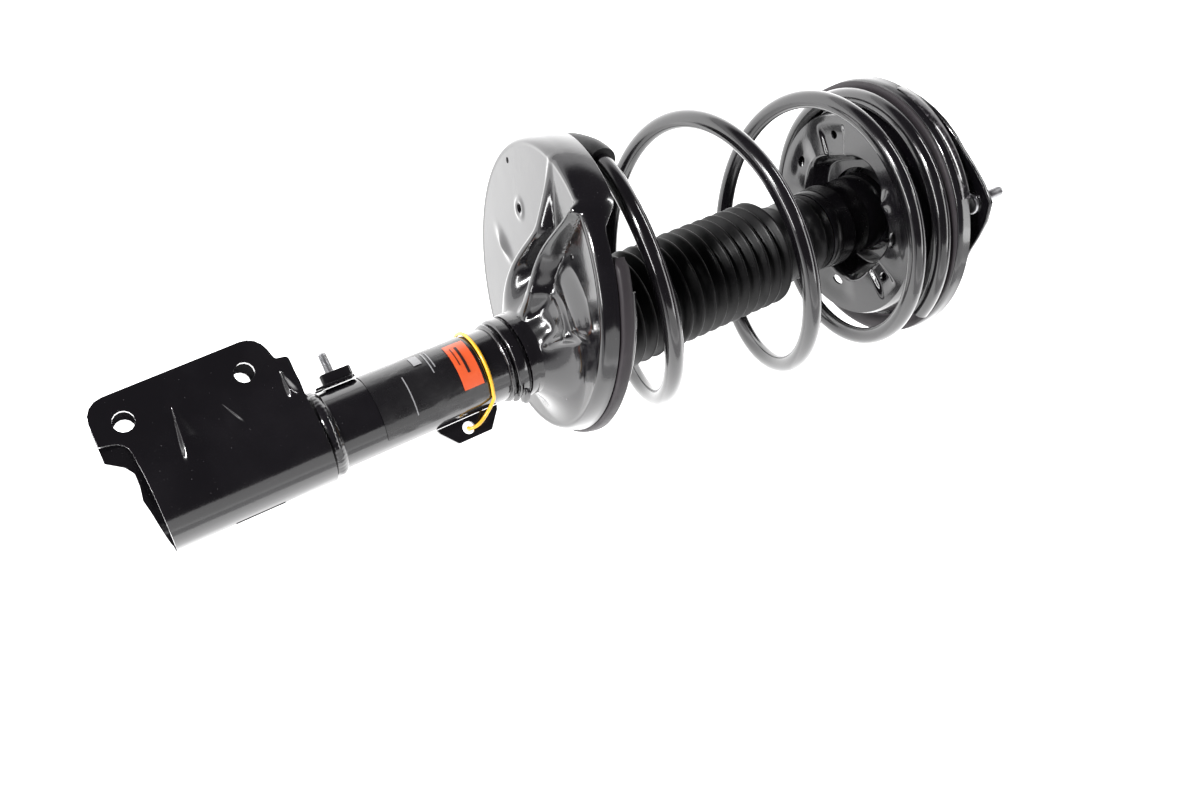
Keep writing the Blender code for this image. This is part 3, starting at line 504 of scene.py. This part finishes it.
def wrapped(name, node, look, start, end, first, last, radius, crease):
    """A thin film wrapped round the tube, with faint creases and one lifted edge."""
    sheets, along_steps, turn_steps = [], 90, 150
    thickness, edge_lift = 0.00022, 0.0002
    for layer in (1.0, 0.0):
        sheet = []
        for k in range(along_steps + 1):
            u = k / along_steps
            row = []
            for j in range(turn_steps + 1):
                v = j / turn_steps
                turn = math.radians(first + (last - first) * v)
                x = start + (end - start) * u
                ripple = noise.noise(Vector((55.0 * x, 2.2 * turn, 3.0))) + 0.5 * noise.noise(
                    Vector((140.0 * x, 7.0 * turn, 9.0)))
                curl = hump(v, 1.0, 0.03) * (0.5 + 0.5 * math.sin(300.0 * x))
                lift = crease * max(0.0, ripple) + edge_lift * curl
                reach = radius + layer * thickness + lift
                row.append(Vector((x, AXIS_Y + reach * math.cos(turn), reach * math.sin(turn))))
            sheet.append(row)
        sheets.append(sheet)
    piece(name, slab(*sheets), look, "strut_body", (node,) if node else (), 50.0)


def labels():
    """Plain film label and patch; their print is only a few blank rules."""
    outer = TUBE_R + 0.00035
    patch_lift, lifts = 0.00062, {"ink": 0.00052, "dark_ink": 0.00092}
    wrapped("product_label_look", "product_label", "label", 0.0965, 0.1670, 6.0, 142.0, outer, 0.00016)
    wrapped("label_patch_look", "label_patch", "orange", 0.1515, 0.1655, 38.0, 114.0, outer + patch_lift,
            0.00008)
    rules = (("ink", 0.1180, 0.1187, 62.0, 120.0), ("ink", 0.1290, 0.1345, 30.0, 52.0),
             ("ink", 0.1375, 0.1382, 30.0, 74.0), ("ink", 0.1400, 0.1407, 30.0, 66.0),
             ("dark_ink", 0.1575, 0.1592, 48.0, 92.0), ("dark_ink", 0.1545, 0.1550, 48.0, 78.0))
    for number, (look, start, end, first, last) in enumerate(rules, 1):
        wrapped(f"label_rule_{number}", None, look, start, end, first, last, outer + lifts[look], 0.00010)


def tag_band():
    """Elastic loop round the tube and through the tab's hole."""
    band_r, reach, top_x = 0.0012, TUBE_R + 0.0018, 0.1705
    half_loop, steps = 146.0, 26         # degrees either side of the top, where the band leaves the tube
    hole = Vector((0.1510, AXIS_Y - 0.0318, 0.0))
    path = []
    for step in range(steps + 1):
        turn = math.radians(-half_loop + 2.0 * half_loop * step / steps)
        path.append(Vector((top_x - 0.0010 * abs(turn) / 2.55, AXIS_Y + reach * math.cos(turn),
                            reach * math.sin(turn))))
    leg = [Vector((0.0130, 0.0036, 0.0086)), Vector((0.0065, -0.0005, 0.0058)),
           Vector((0.0015, -0.0012, 0.0030))]
    path += [hole + p for p in leg] + [hole]
    path += [hole + Vector((p.x, p.y, -p.z)) for p in reversed(leg)]
    closed_bar("tag_band_look", curve_through(path, 6), band_r, 14, "yellow", "strut_body", ("tag_band",))


def curve_through(points, steps):
    """A smooth closed line through the points."""
    line = []
    count = len(points)
    for k in range(count):
        a, b, c, d = (points[(k + j) % count] for j in (-1, 0, 1, 2))
        for step in range(steps):
            t = step / steps
            line.append(0.5 * ((2.0 * b) + (c - a) * t + (2.0 * a - 5.0 * b + 4.0 * c - d) * t * t
                               + (3.0 * b - a - 3.0 * c + d) * t ** 3))
    return line


def closed_bar(name, line, radius, sides, look, body, replaces):
    """A round bar along a closed line of points."""
    rows = []
    for k, point in enumerate(line):
        tangent = (line[(k + 1) % len(line)] - line[k - 1]).normalized()
        hub = Vector((point.x, AXIS_Y, 0.0))
        out = (point - hub) - tangent * (point - hub).dot(tangent)
        out.normalize()
        rows.append(round_section(point, out, tangent.cross(out), radius, sides))
    rows.append(rows[0])
    piece(name, grid(bmesh.new(), rows), look, body, replaces, 60.0)


def round_section(centre, out, side, radius, sides):
    """A circle of points in the plane of two directions."""
    turns = [2.0 * math.pi * j / sides for j in range(sides)]
    return [centre + out * (radius * math.cos(turn)) + side * (radius * math.sin(turn)) for turn in turns]


# ---------------------------------------------------------------- lower spring seat
SLEEVE_X, SLEEVE_R = 0.2065, 0.0285      # where the seat's sleeve opens into its cone
FACE_X, FOOT_X, FOOT_R = -0.0335, -0.0334, 0.0935    # in the seat's frame: its flat face, its wall's foot
HOLE_BOSS = Vector((0.0898, 0.0066))     # ring pressed round the seat's larger hole
# place across the seat, towards the ears and square to them, and radius
LOWER_HOLES = ((0.0880, 0.0070, 0.0022), (0.0540, 0.0066, 0.0034), (0.0000, 0.0680, 0.0022))


def lip_share(degrees):
    """1 where the lower seat's wall is high, 0 where it is low."""
    turn = turn_gap(degrees, 0.0)
    return smooth_step(turn, -96.0, -74.0) * (1.0 - smooth_step(turn, 76.0, 88.0))


def polar(radius, degrees):
    """A place across the strut: (towards the ears, square to them)."""
    turn = math.radians(degrees)
    return Vector((radius * math.cos(turn), radius * math.sin(turn)))


def ridge(degrees, radius, swing, bend_start, bend_end, wide, length):
    """How far a pressed ridge carries the cone out: its angle swings by some degrees as it runs."""
    def pressed(distance, around):
        centre = degrees + swing * (1.0 - smooth_step(distance, bend_start, bend_end))
        return length * hump(turn_gap(around, centre), 0.0, math.degrees(wide / max(distance, radius)))

    return pressed


RIDGES = (ridge(36.5, 0.040, -34.0, 0.034, 0.084, 0.0100, 0.0720),
          ridge(57.0, 0.046, -9.0, 0.062, 0.112, 0.0058, 0.0980),
          ridge(-104.0, 0.040, 0.0, 0.034, 0.084, 0.0100, 0.0200))


def seat_relief(spot, top):
    """Height of the seat's pressing above its flat face; top is the sleeve's height there."""
    distance, around = spot.length, math.degrees(math.atan2(spot.y, spot.x))

    def across(degrees, width):
        """A bell across a radial line; its width is in degrees times metres."""
        return hump(turn_gap(around, degrees) * distance, 0.0, width)

    def sector(degrees, width):
        """A bell over a range of angles."""
        return hump(turn_gap(around, degrees), 0.0, width)

    reach = 0.0560 + 0.0050 * sector(-25.0, 45.0) - 0.0050 * sector(72.0, 22.0) + sum(
        pressed(distance, around) for pressed in RIDGES)
    cone = top * max(0.0, 1.0 - max(0.0, distance - SLEEVE_R) / (reach - SLEEVE_R)) ** 1.6
    turns = smooth_step(around, 46.0, 60.0) * (1.0 - smooth_step(around, 94.0, 106.0))
    plateau = smooth_step(distance, 0.032, 0.050) * (1.0 - smooth_step(distance, 0.057, 0.074))
    terrace = turns * (0.0060 * plateau + 0.0016 * hump(distance, 0.0495, 0.0024))
    run = smooth_step(distance, 0.029, 0.036) * (1.0 - smooth_step(distance, 0.046, 0.056))
    crease = 0.0034 * across(98.0, 0.20) * run
    hollow = 0.0020 * hump(distance, 0.037, 0.007) * sector(85.0, 8.0)
    bead = 0.0036 * hump(distance, 0.086, 0.011) * across(-24.5, 0.24)
    boss = 0.0008 * hump((spot - HOLE_BOSS).length, 0.0056, 0.0020)
    return cone + terrace + crease - hollow + bead + boss


def face_height(spot):
    """X of the seat's flat face at a place across the strut."""
    normal = SEAT.to_3x3() @ Vector((1.0, 0.0, 0.0))
    origin = SEAT @ Vector((FACE_X, 0.0, 0.0))
    return origin.x - (normal.y * (AXIS_Y + spot.x - origin.y) + normal.z * (spot.y - origin.z)) / normal.x


def seat_skin(degrees, share):
    """A point on the outside of the lower seat; share runs from the tube (0) to the wall (1)."""
    near = polar(0.0288, degrees)
    rim = SEAT @ Vector((FOOT_X, *polar(FOOT_R, degrees)))
    spot = near.lerp(Vector((rim.y - AXIS_Y, rim.z)), share)
    face = face_height(spot)
    return Vector((face - seat_relief(spot, face - SLEEVE_X), AXIS_Y + spot.x, spot.y))


def lower_seat():
    """The lower seat's pressing: sleeve, cone, flat face, low and high wall, and its three holes."""
    steps, spans = 420, 100
    angles = [360.0 * k / steps for k in range(steps)]
    rows = [[STRUT @ Vector((x, *polar(radius, a))) for a in angles]
            for x, radius in ((0.1984, 0.0266), (0.1983, 0.0284), (0.1990, 0.0287), (0.2030, 0.0288))]
    skin = [[seat_skin(a, k / spans) for a in angles] for k in range(spans + 1)]
    rows += skin
    raised = [point.x - face_height(Vector((point.y - AXIS_Y, point.z))) for point in skin[-1]]
    for z, radius, share in ((-0.0335, 0.0946, 0.9), (-0.0338, 0.0957, 0.8), (-0.0337, 0.0966, 0.8),
                             (-0.0329, 0.0977, 0.6), (-0.0315, 0.0987, 0.5), (-0.0297, 0.0995, 0.4),
                             (-0.0277, 0.1001, 0.2), (-0.0258, 0.1005, 0.1), (-0.0240, 0.1008, 0.0)):
        rows.append([ring_point(a, z, radius) + Vector((raised[k] * share, 0.0, 0.0))
                     for k, a in enumerate(angles)])
    wall_top, wall_r, lip_rise, lip_spread = -0.0225, 0.1013, 0.0110, 0.0019
    for inset, drop in ((0.0, 0.0006), (0.0003, 0.0001), (0.0011, -0.0002), (0.0018, 0.0002)):
        row = []
        for a in angles:
            share = lip_share(a)
            row.append(ring_point(a, wall_top + lip_rise * share - drop, wall_r + lip_spread * share - inset))
        rows.append(row)
    for z, radius in ((-0.0250, 0.0985), (-0.0290, 0.0960), (-0.0306, 0.0925)):
        rows.append([ring_point(a, z, radius) for a in angles])
    rows += [[point + SHEET for point in row] for row in reversed(skin[4::4])]
    rows.append([STRUT @ Vector((0.2080, *polar(0.0268, a))) for a in angles])
    seat = piece("lower_spring_seat_look", grid(bmesh.new(), rows + rows[:1]), "black_paint", "strut_body",
                 ("lower_spring_seat",), 60.0)
    for number, (across, up, radius) in enumerate(LOWER_HOLES, 1):
        punch(seat, SEAT @ Vector((-0.0320, across, up)), SEAT, radius, f"hole_{number}")


def ring_point(degrees, z, radius):
    """A place on a circle round the lower seat's axis."""
    turn = math.radians(degrees)
    return SEAT @ Vector((z, radius * math.cos(turn), radius * math.sin(turn)))


def punch(target, centre, matrix, radius, name, stretch=1.0, direction=0.0):
    """Cut a round or long hole through a skin."""
    bm = bmesh.new()
    steps, half_depth = 24, 0.006
    along = matrix.to_3x3()
    rows = []
    for depth in (-half_depth, half_depth):
        row = []
        for k in range(steps):
            turn = 2.0 * math.pi * k / steps
            local = Matrix.Rotation(direction, 3, "X") @ Vector((depth, radius * stretch * math.cos(turn),
                                                                 radius * math.sin(turn)))
            row.append(centre + along @ local)
        rows.append(row)
    grid(bm, rows, cap=True)
    bmesh.ops.recalc_face_normals(bm, faces=bm.faces)
    mesh = bpy.data.meshes.new(name)
    bm.to_mesh(mesh)
    bm.free()
    tool = bpy.data.objects.new(name, mesh)
    bpy.context.scene.collection.objects.link(tool)
    cut = target.modifiers.new(name, "BOOLEAN")
    cut.operation = "DIFFERENCE"
    cut.object = tool
    bake(target)
    bpy.data.objects.remove(tool, do_unlink=True)


def partial_ring(name, profile, matrix, first, last, look, body, replaces=(), wave=0.0):
    """A closed profile swept part of the way round an axis."""
    rows = []
    steps_per_degree = 0.8
    steps = max(8, int(abs(last - first) * steps_per_degree))
    for step in range(steps + 1):
        turn = math.radians(first + (last - first) * step / steps)
        ease = 1.0 - 0.55 * (hump(step, 0.0, 2.0) + hump(step, steps, 2.0))      # slimmer at both ends
        centre = sum(p[1] for p in profile) / len(profile)
        row = []
        for along, radius in profile:
            wobble = wave * noise.noise(Vector((6.0 * math.cos(turn), 6.0 * math.sin(turn), 90.0 * along)))
            reach = centre + (radius - centre) * ease + wobble
            row.append(matrix @ Vector((along + wobble, reach * math.cos(turn), reach * math.sin(turn))))
        rows.append(row)
    piece(name, grid(bmesh.new(), rows, cap=True), look, body, replaces, 60.0)


def drain_lips():
    """Two small lips bent out round the drain opening under the seat's sleeve."""
    root = 0.0284
    lips = ((0.1900, 0.1916, 142.0, 172.0, 0.0336), (0.1840, 0.1852, 146.0, 164.0, 0.0308))
    for number, (start, end, first, last, reach) in enumerate(lips, 1):
        profile = [(start, root), (start + 0.0012, reach), (end + 0.0018, reach + 0.0004), (end, root)]
        partial_ring(f"drain_lip_{number}", rounded_profile(profile), STRUT, first, last, "black_paint",
                     "strut_body")


def rubber_parts():
    """The half-ring pad between the lower seat and the coil, and the upper seat's ring pad."""
    partial_ring("lower_pad_look", rounded_profile([
        (-0.0300, 0.0720), (-0.0300, 0.0888), (-0.0270, 0.0934), (-0.0236, 0.0964), (-0.0220, 0.0970),
        (-0.0218, 0.1020), (-0.0205, 0.1036), (-0.0180, 0.1040), (-0.0150, 0.1041), (-0.0138, 0.1034),
        (-0.0135, 0.1010), (-0.0150, 0.0974), (-0.0172, 0.0966), (-0.0190, 0.0930), (-0.0190, 0.0720)]),
        SEAT, 97.0, 261.0, "lip", "strut_body", ("lower_spring_pad",), 0.0003)
    profile = rounded_profile([(0.0075, 0.0848), (0.0075, 0.0988), (0.0085, 0.0996), (0.0100, 0.0992),
                               (0.0100, 0.0870)])
    piece("upper_pad_look", spun(profile, UPPER), "lip", "upper_seat", ("upper_spring_pad",), 50.0)


def rounded_profile(points):
    """Cut the corners of a closed profile once."""
    line = []
    for k, point in enumerate(points):
        a, b = Vector(point), Vector(points[(k + 1) % len(points)])
        line += [tuple(a.lerp(b, 0.2)), tuple(a.lerp(b, 0.8))]
    return line


# ---------------------------------------------------------------- coil spring
def coil_height(turn):
    """Height of the wire's centre along the spring's axis at a turn angle in degrees."""
    for k in range(len(COIL_RISE) - 1):
        (low, start), (high, end) = COIL_RISE[k], COIL_RISE[k + 1]
        if turn <= high or k == len(COIL_RISE) - 2:
            break
    slopes = []
    for j in (k, k + 1):
        left, right = COIL_RISE[max(j - 1, 0)], COIL_RISE[min(j + 1, len(COIL_RISE) - 1)]
        slopes.append((right[1] - left[1]) / (right[0] - left[0]))
    span = high - low
    t = (turn - low) / span
    return (start * (2 * t ** 3 - 3 * t ** 2 + 1) + end * (3 * t ** 2 - 2 * t ** 3)
            + span * (slopes[0] * (t ** 3 - 2 * t ** 2 + t) + slopes[1] * (t ** 3 - t ** 2)))


def coil_point(turn):
    """Centre of the spring's wire at a turn angle in degrees."""
    radius = COIL_LOW_R + (COIL_MID_R - COIL_LOW_R) * smooth_step(turn, 60.0, 260.0)
    radius += (COIL_TOP_R - COIL_MID_R) * smooth_step(turn, 700.0, 1000.0)
    across = radius * math.cos(math.radians(turn))
    up = radius * math.sin(math.radians(turn))
    return SPRING @ Vector((coil_height(turn) - COIL_LEAN * up, across, up))


def wire(name, first, last, radius, look, body, replaces=()):
    """A length of round bar on the coil's line; radius is a function of the turn angle."""
    count = max(2, round((last - first) / WIRE_STEP))
    rows = []
    for k in range(count + 1):
        turn = first + (last - first) * k / count
        centre = coil_point(turn)
        tangent = (coil_point(turn + 0.5) - coil_point(turn - 0.5)).normalized()
        hub = SPRING @ Vector((coil_height(turn), 0.0, 0.0))
        out = (centre - hub).normalized()
        out = (out - tangent * out.dot(tangent)).normalized()
        rows.append(round_section(centre, out, tangent.cross(out), radius(turn), WIRE_SIDES))
    return piece(name, grid(bmesh.new(), rows, cap=True), look, body, replaces, 60.0)


def spring():
    """The coil in three lengths, the end turn riding on the upper seat, and its rubber sleeve."""
    def plain(turn):
        return WIRE_R

    first, low, high, last = COIL_SPLITS
    wire("spring_dead_turn", first, low, plain, "spring_paint", "strut_body", ("coil_spring",))
    working = wire("spring_working_turns", low, high, plain, "spring_paint", "strut_body")
    wire("spring_end_turn", high, last, plain, "spring_paint", "upper_seat")
    bottom, top = coil_point(low), coil_point(high)
    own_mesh(working)

    sleeve_first, sleeve_last, wall = -72.0, 50.0, 0.0032

    def sleeve(turn):
        mouth = 0.0007 * hump(turn, 44.0, 7.0)
        ripple = 0.0002 * math.sin(math.radians(9.0 * turn))
        rounding = 0.0018 * hump(turn, sleeve_first, 3.0)
        return WIRE_R + wall + mouth + ripple - rounding

    wire("spring_sleeve_look", sleeve_first, sleeve_last, sleeve, "rubber", "strut_body",
         ("spring_end_sleeve",))


# ---------------------------------------------------------------- boot and cup
def boot():
    """The dust boot's bellows and neck, and the plastic cup that holds it."""
    start, end, top, folds = 0.2640, 0.4150, 0.4630, 15
    crest, root = 0.0393, 0.0325
    pitch = (end - start) / folds
    profile = [(start, 0.0300), (start, root)]
    for fold in range(folds):
        base = start + fold * pitch
        for share, reach in ((0.10, root + 0.0004), (0.30, root + 0.0026), (0.52, crest - 0.0010),
                             (0.60, crest - 0.0001), (0.67, crest), (0.73, crest - 0.0004),
                             (0.78, crest - 0.0016), (0.90, root + 0.0008), (0.98, root)):
            profile.append((base + share * pitch, reach))
    profile += [(end + 0.0010, 0.0312), (end + 0.0030, 0.0302), (0.4280, 0.0296), (0.4290, 0.0300),
                (0.4302, 0.0300), (0.4310, 0.0296), (0.4400, 0.0295), (0.4410, 0.0299), (0.4422, 0.0299),
                (0.4430, 0.0295), (0.4520, 0.0294), (0.4532, 0.0303), (0.4550, 0.0303), (0.4562, 0.0294),
                (0.4625, 0.0293), (0.4625, 0.0278), (end, 0.0285)]

    def sag(along, turn):
        return 0.00025 * noise.noise(Vector((3.0 * math.cos(turn), 3.0 * math.sin(turn), 60.0 * along)))

    made = piece("dust_boot_look", spun(profile, steps=144, ripple=sag), "rubber", "upper_seat",
                 ("dust_boot",), 50.0)
    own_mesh(made)
    cup = [(top, 0.0288), (top, 0.0300), (0.4636, 0.0305), (0.4700, 0.0309), (0.4702, 0.0304),
           (0.4712, 0.0304), (0.4714, 0.0311), (0.4808, 0.0317), (0.4815, 0.0318), (0.4822, 0.0315),
           (0.4830, 0.0305), (0.4840, 0.0302), (0.4980, 0.0300), (0.4984, 0.0297), (0.4990, 0.0297),
           (0.4994, 0.0300), (0.5215, 0.0301), (0.5221, 0.0296), (0.5221, 0.0118), (0.5197, 0.0118),
           (0.5190, 0.0282)]
    piece("boot_cup_look", spun(cup), "plastic", "upper_seat", ("boot_cup",), 45.0)


# ---------------------------------------------------------------- upper seat and top mount
# radius, angle, length over width
UPPER_HOLES = ((0.0630, 21.0, 1.0), (0.0620, 335.0, 1.5), (0.0560, 220.0, 1.7), (0.0590, 163.0, 1.2),
               (0.0560, 128.0, 1.9))
# angle, half-width, ease, depth
CHANNELS = ((21.0, 10.0, 4.0, 0.0026), (163.0, 6.0, 4.0, 0.0030), (128.0, 5.0, 16.0, 0.0016),
            (220.0, 6.0, 18.0, 0.0014), (335.0, 6.0, 16.0, 0.0016))
CENTRE_R, CENTRE_X = 0.0340, 0.5225      # the upper seat's flat centre
DISH_R, DISH_X = 0.0780, -0.0132         # its dished face, in the upper frame


def upper_skin(degrees, share):
    """Side of the upper seat that faces the spring, from the centre flat (0) to the wall's foot (1)."""
    reach = CENTRE_R + (DISH_R - CENTRE_R) * share
    recess = 0.0445 + 0.0060 * hump(turn_gap(degrees, 80.0), 0.0, 26.0) + 0.0022 * math.cos(
        math.radians(5.0 * (degrees - 58.0)))
    flat = STRUT @ Vector((CENTRE_X, *polar(reach, degrees)))
    face = UPPER @ Vector((DISH_X, *polar(reach, degrees)))
    point = flat.lerp(face, smooth_step(reach, recess - 0.0030, recess + 0.0060))
    dished = smooth_step(reach, recess, recess + 0.0080)
    for centre, wide, ease, deep in CHANNELS:
        gap = abs(turn_gap(degrees, centre))
        point.x += deep * dished * (1.0 - smooth_step(gap, wide, wide + ease)) * (
            1.0 - smooth_step(reach, 0.0620, 0.0745))
    point.x -= 0.0040 * hump(turn_gap(degrees, 98.0), 0.0, 7.0) * hump(reach, 0.0540, 0.0060)
    return point


def upper_seat():
    """The upper seat's pressing with its rolled rim, long holes and raised edge."""
    steps, spans = 360, 60
    angles = [360.0 * k / steps for k in range(steps)]
    rows = [[STRUT @ Vector((0.5240, *polar(CENTRE_R, a))) for a in angles]]
    skin = [[upper_skin(a, k / spans) for a in angles] for k in range(spans + 1)]
    rows += skin
    rim = ((-0.0108, 0.0792), (-0.0090, 0.0798), (0.0020, 0.0818), (0.0056, 0.0828), (0.0078, 0.0840),
           (0.0096, 0.0852), (0.0103, 0.0870), (0.0103, 0.0975), (0.0107, 0.0990), (0.0120, 0.1000),
           (0.0150, 0.1004), (0.0188, 0.1008), (0.0200, 0.1010), (0.0203, 0.1003), (0.0199, 0.0994),
           (0.0140, 0.0984), (0.0124, 0.0974), (0.0124, 0.0858), (0.0100, 0.0825), (0.0063, 0.0806),
           (-0.0090, 0.0772))
    rows += [[UPPER @ Vector((z, *polar(radius, a))) for a in angles] for z, radius in rim]
    rows += [[point + SHEET for point in row] for row in reversed(skin[2:-2:3])]
    seat = piece("upper_spring_seat_look", grid(bmesh.new(), rows + rows[:1]), "black_paint", "upper_seat",
                 ("upper_spring_seat",), 50.0)
    half_width = 0.0034
    for number, (radius, degrees, stretch) in enumerate(UPPER_HOLES, 1):
        spot = UPPER @ Vector((-0.0120, *polar(radius, degrees)))
        punch(seat, spot, UPPER, half_width, f"seat_hole_{number}", stretch, math.radians(degrees + 90.0))
    partial_ring("upper_seat_edge", [(0.0150, 0.1006), (0.0150, 0.1014), (0.0214, 0.1020), (0.0218, 0.1016),
                                     (0.0214, 0.1008)], UPPER, 48.0, 106.0, "black_paint", "upper_seat")


def top_mount():
    """The mount's plate and housing, the pressed-in studs with their round heads, nut and washer."""
    dressed("mount_plate", "black_paint", 0.0005, 2, 40.0)
    dressed("mount_housing", "black_paint", 0.0004)
    crest, root, pitch = 0.0040, 0.0035, 0.00125
    head, thread_end, tip = MOUNT_X - 0.0003, 0.5740, 0.5758
    profile = [(head - 0.0024, 0.0), (head - 0.0024, 0.0046), (head - 0.0030, 0.0056),
               (head - 0.0030, 0.0066), (head - 0.0026, 0.0074), (head - 0.0018, 0.0080),
               (head - 0.0004, 0.0080), (head, 0.0078), (head, crest)]
    along = head
    while along < thread_end:
        profile += [(along + 0.0003, crest), (along + 0.0008, root)]
        along += pitch
    profile += [(0.5750, 0.0036), (tip, 0.0030), (tip, 0.0)]
    for number, degrees in enumerate(STUD_ANGLES, 1):
        turn = math.radians(degrees)
        place = Matrix.Translation((0.0, AXIS_Y + STUD_CIRCLE * math.cos(turn), STUD_CIRCLE * math.sin(turn)))
        piece(f"mount_stud_{number}_look", spun(profile, place, 40, closed=False), "steel", "top_mount",
              (f"mount_stud_{number}",), 50.0)
    dressed("rod_nut", "steel", 0.0004)
    dressed("rebound_washer", "steel", 0.0003)


def carried_over():
    """Give every CAD node that is still shown its own detailed finish."""
    for name, node in NODES.items():
        if node.hide_render:
            continue
        old = node.data.materials[0].name.split(".")[0] if node.data.materials else "steel"
        look = old if old in LOOKS else "steel"
        node.data.materials.clear()
        node.data.materials.append(LOOKS[look])
        smooth(node, 35.0)


# ---------------------------------------------------------------- camera, floor and light
CAMERA_AT = Vector((-0.0622, -0.1003, 0.6618))
CAMERA_RIGHT = Vector((0.8251, -0.4158, 0.3823)).normalized()
CAMERA_UP = Vector((0.3772, 0.9095, 0.1748)).normalized()
CAMERA_BACK = CAMERA_RIGHT.cross(CAMERA_UP).normalized()
TARGET = Vector((0.27, AXIS_Y, 0.0))             # the point that the strips face
KEY_FROM = Vector((-0.74, 0.36, 0.57))
SWEEP_COLOR, CEILING_COLOR = (1.30, 1.29, 1.31, 1.0), (0.080, 0.074, 0.084, 1.0)
# name, place, length, width, power
STRIPS = (("clevis_end_strip", (-1.60, 0.35, 0.95), 1.8, 0.20, 20.0),
          ("mount_end_strip", (1.90, 0.30, 1.45), 1.4, 0.16, 14.0),
          ("side_box", (1.30, -0.90, 1.35), 1.5, 0.45, 9.0),
          ("low_panel", (0.20, -1.90, 0.95), 1.1, 3.0, 15.0))


def camera():
    """Camera above the clevis end, looking down the strut towards the top mount."""
    data = bpy.data.cameras.new("camera")
    data.sensor_width = 36.0
    data.lens = 32.1
    data.clip_end = 50.0
    turn = Matrix((CAMERA_RIGHT, CAMERA_BACK.cross(CAMERA_RIGHT), CAMERA_BACK)).transposed().to_4x4()
    view = bpy.data.objects.new("camera", data)
    view.matrix_world = Matrix.Translation(CAMERA_AT) @ turn
    bpy.context.scene.collection.objects.link(view)
    bpy.context.scene.camera = view


def floor():
    """A plain pale floor under the part, bright enough to read as a lit studio table."""
    mesh = bpy.data.meshes.new("floor")
    low, size = cad_box[0][2] - 0.0005, 6.0
    mesh.from_pydata([(-size, -size, low), (size, -size, low), (size, size, low), (-size, size, low)], [],
                     [(0, 1, 2, 3)])
    made = bpy.data.objects.new("floor", mesh)
    bpy.context.scene.collection.objects.link(made)
    finish = bpy.data.materials.new("floor")
    finish.use_nodes = True
    shader = finish.node_tree.nodes["Principled BSDF"]
    shader.inputs["Base Color"].default_value = (0.9, 0.9, 0.9, 1.0)
    shader.inputs["Roughness"].default_value = 0.9
    shader.inputs["Emission Color"].default_value = (1.0, 1.0, 1.0, 1.0)
    shader.inputs["Emission Strength"].default_value = 1.35
    mesh.materials.append(finish)


def strip(name, place, length, width, power):
    """A soft strip light, long across the strut, aimed at the middle of the part."""
    data = bpy.data.lights.new(name, "AREA")
    data.shape = "RECTANGLE"
    data.size, data.size_y, data.energy = width, length, power
    made = bpy.data.objects.new(name, data)
    back = (place - TARGET).normalized()
    side = Vector((0.0, 1.0, 0.0)).cross(back).normalized()
    turn = Matrix((side, back.cross(side), back)).transposed().to_4x4()
    made.matrix_world = Matrix.Translation(place) @ turn
    bpy.context.scene.collection.objects.link(made)


def lights():
    """White sweep below a dim ceiling, strips at both ends, two side panels and a soft key light."""
    world = bpy.data.worlds.new("world")
    world.use_nodes = True
    tree = world.node_tree
    place = tree.nodes.new("ShaderNodeTexCoord").outputs["Generated"]
    split = tree.nodes.new("ShaderNodeSeparateXYZ")
    tree.links.new(place, split.inputs["Vector"])
    ramp = tree.nodes.new("ShaderNodeValToRGB")
    ramp.color_ramp.interpolation = "EASE"
    ramp.color_ramp.elements[0].position = 0.14
    ramp.color_ramp.elements[0].color = SWEEP_COLOR
    ramp.color_ramp.elements[1].position = 0.34
    ramp.color_ramp.elements[1].color = CEILING_COLOR
    tree.links.new(split.outputs["Z"], ramp.inputs["Fac"])
    tree.links.new(ramp.outputs["Color"], tree.nodes["Background"].inputs["Color"])
    bpy.context.scene.world = world
    for name, at, length, width, power in STRIPS:
        strip(name, Vector(at), length, width, power)
    data = bpy.data.lights.new("key", "SUN")
    data.energy, data.angle = 3.2, math.radians(6.0)
    key = bpy.data.objects.new("key", data)
    key.rotation_mode = "QUATERNION"
    key.rotation_quaternion = KEY_FROM.to_track_quat("Z", "Y")
    bpy.context.scene.collection.objects.link(key)
    bpy.context.scene.view_settings.view_transform = "Standard"


knuckle_bracket()
tube_parts()
labels()
tag_band()
lower_seat()
drain_lips()
rubber_parts()
spring()
boot()
upper_seat()
top_mount()
carried_over()
camera()
floor()
lights()
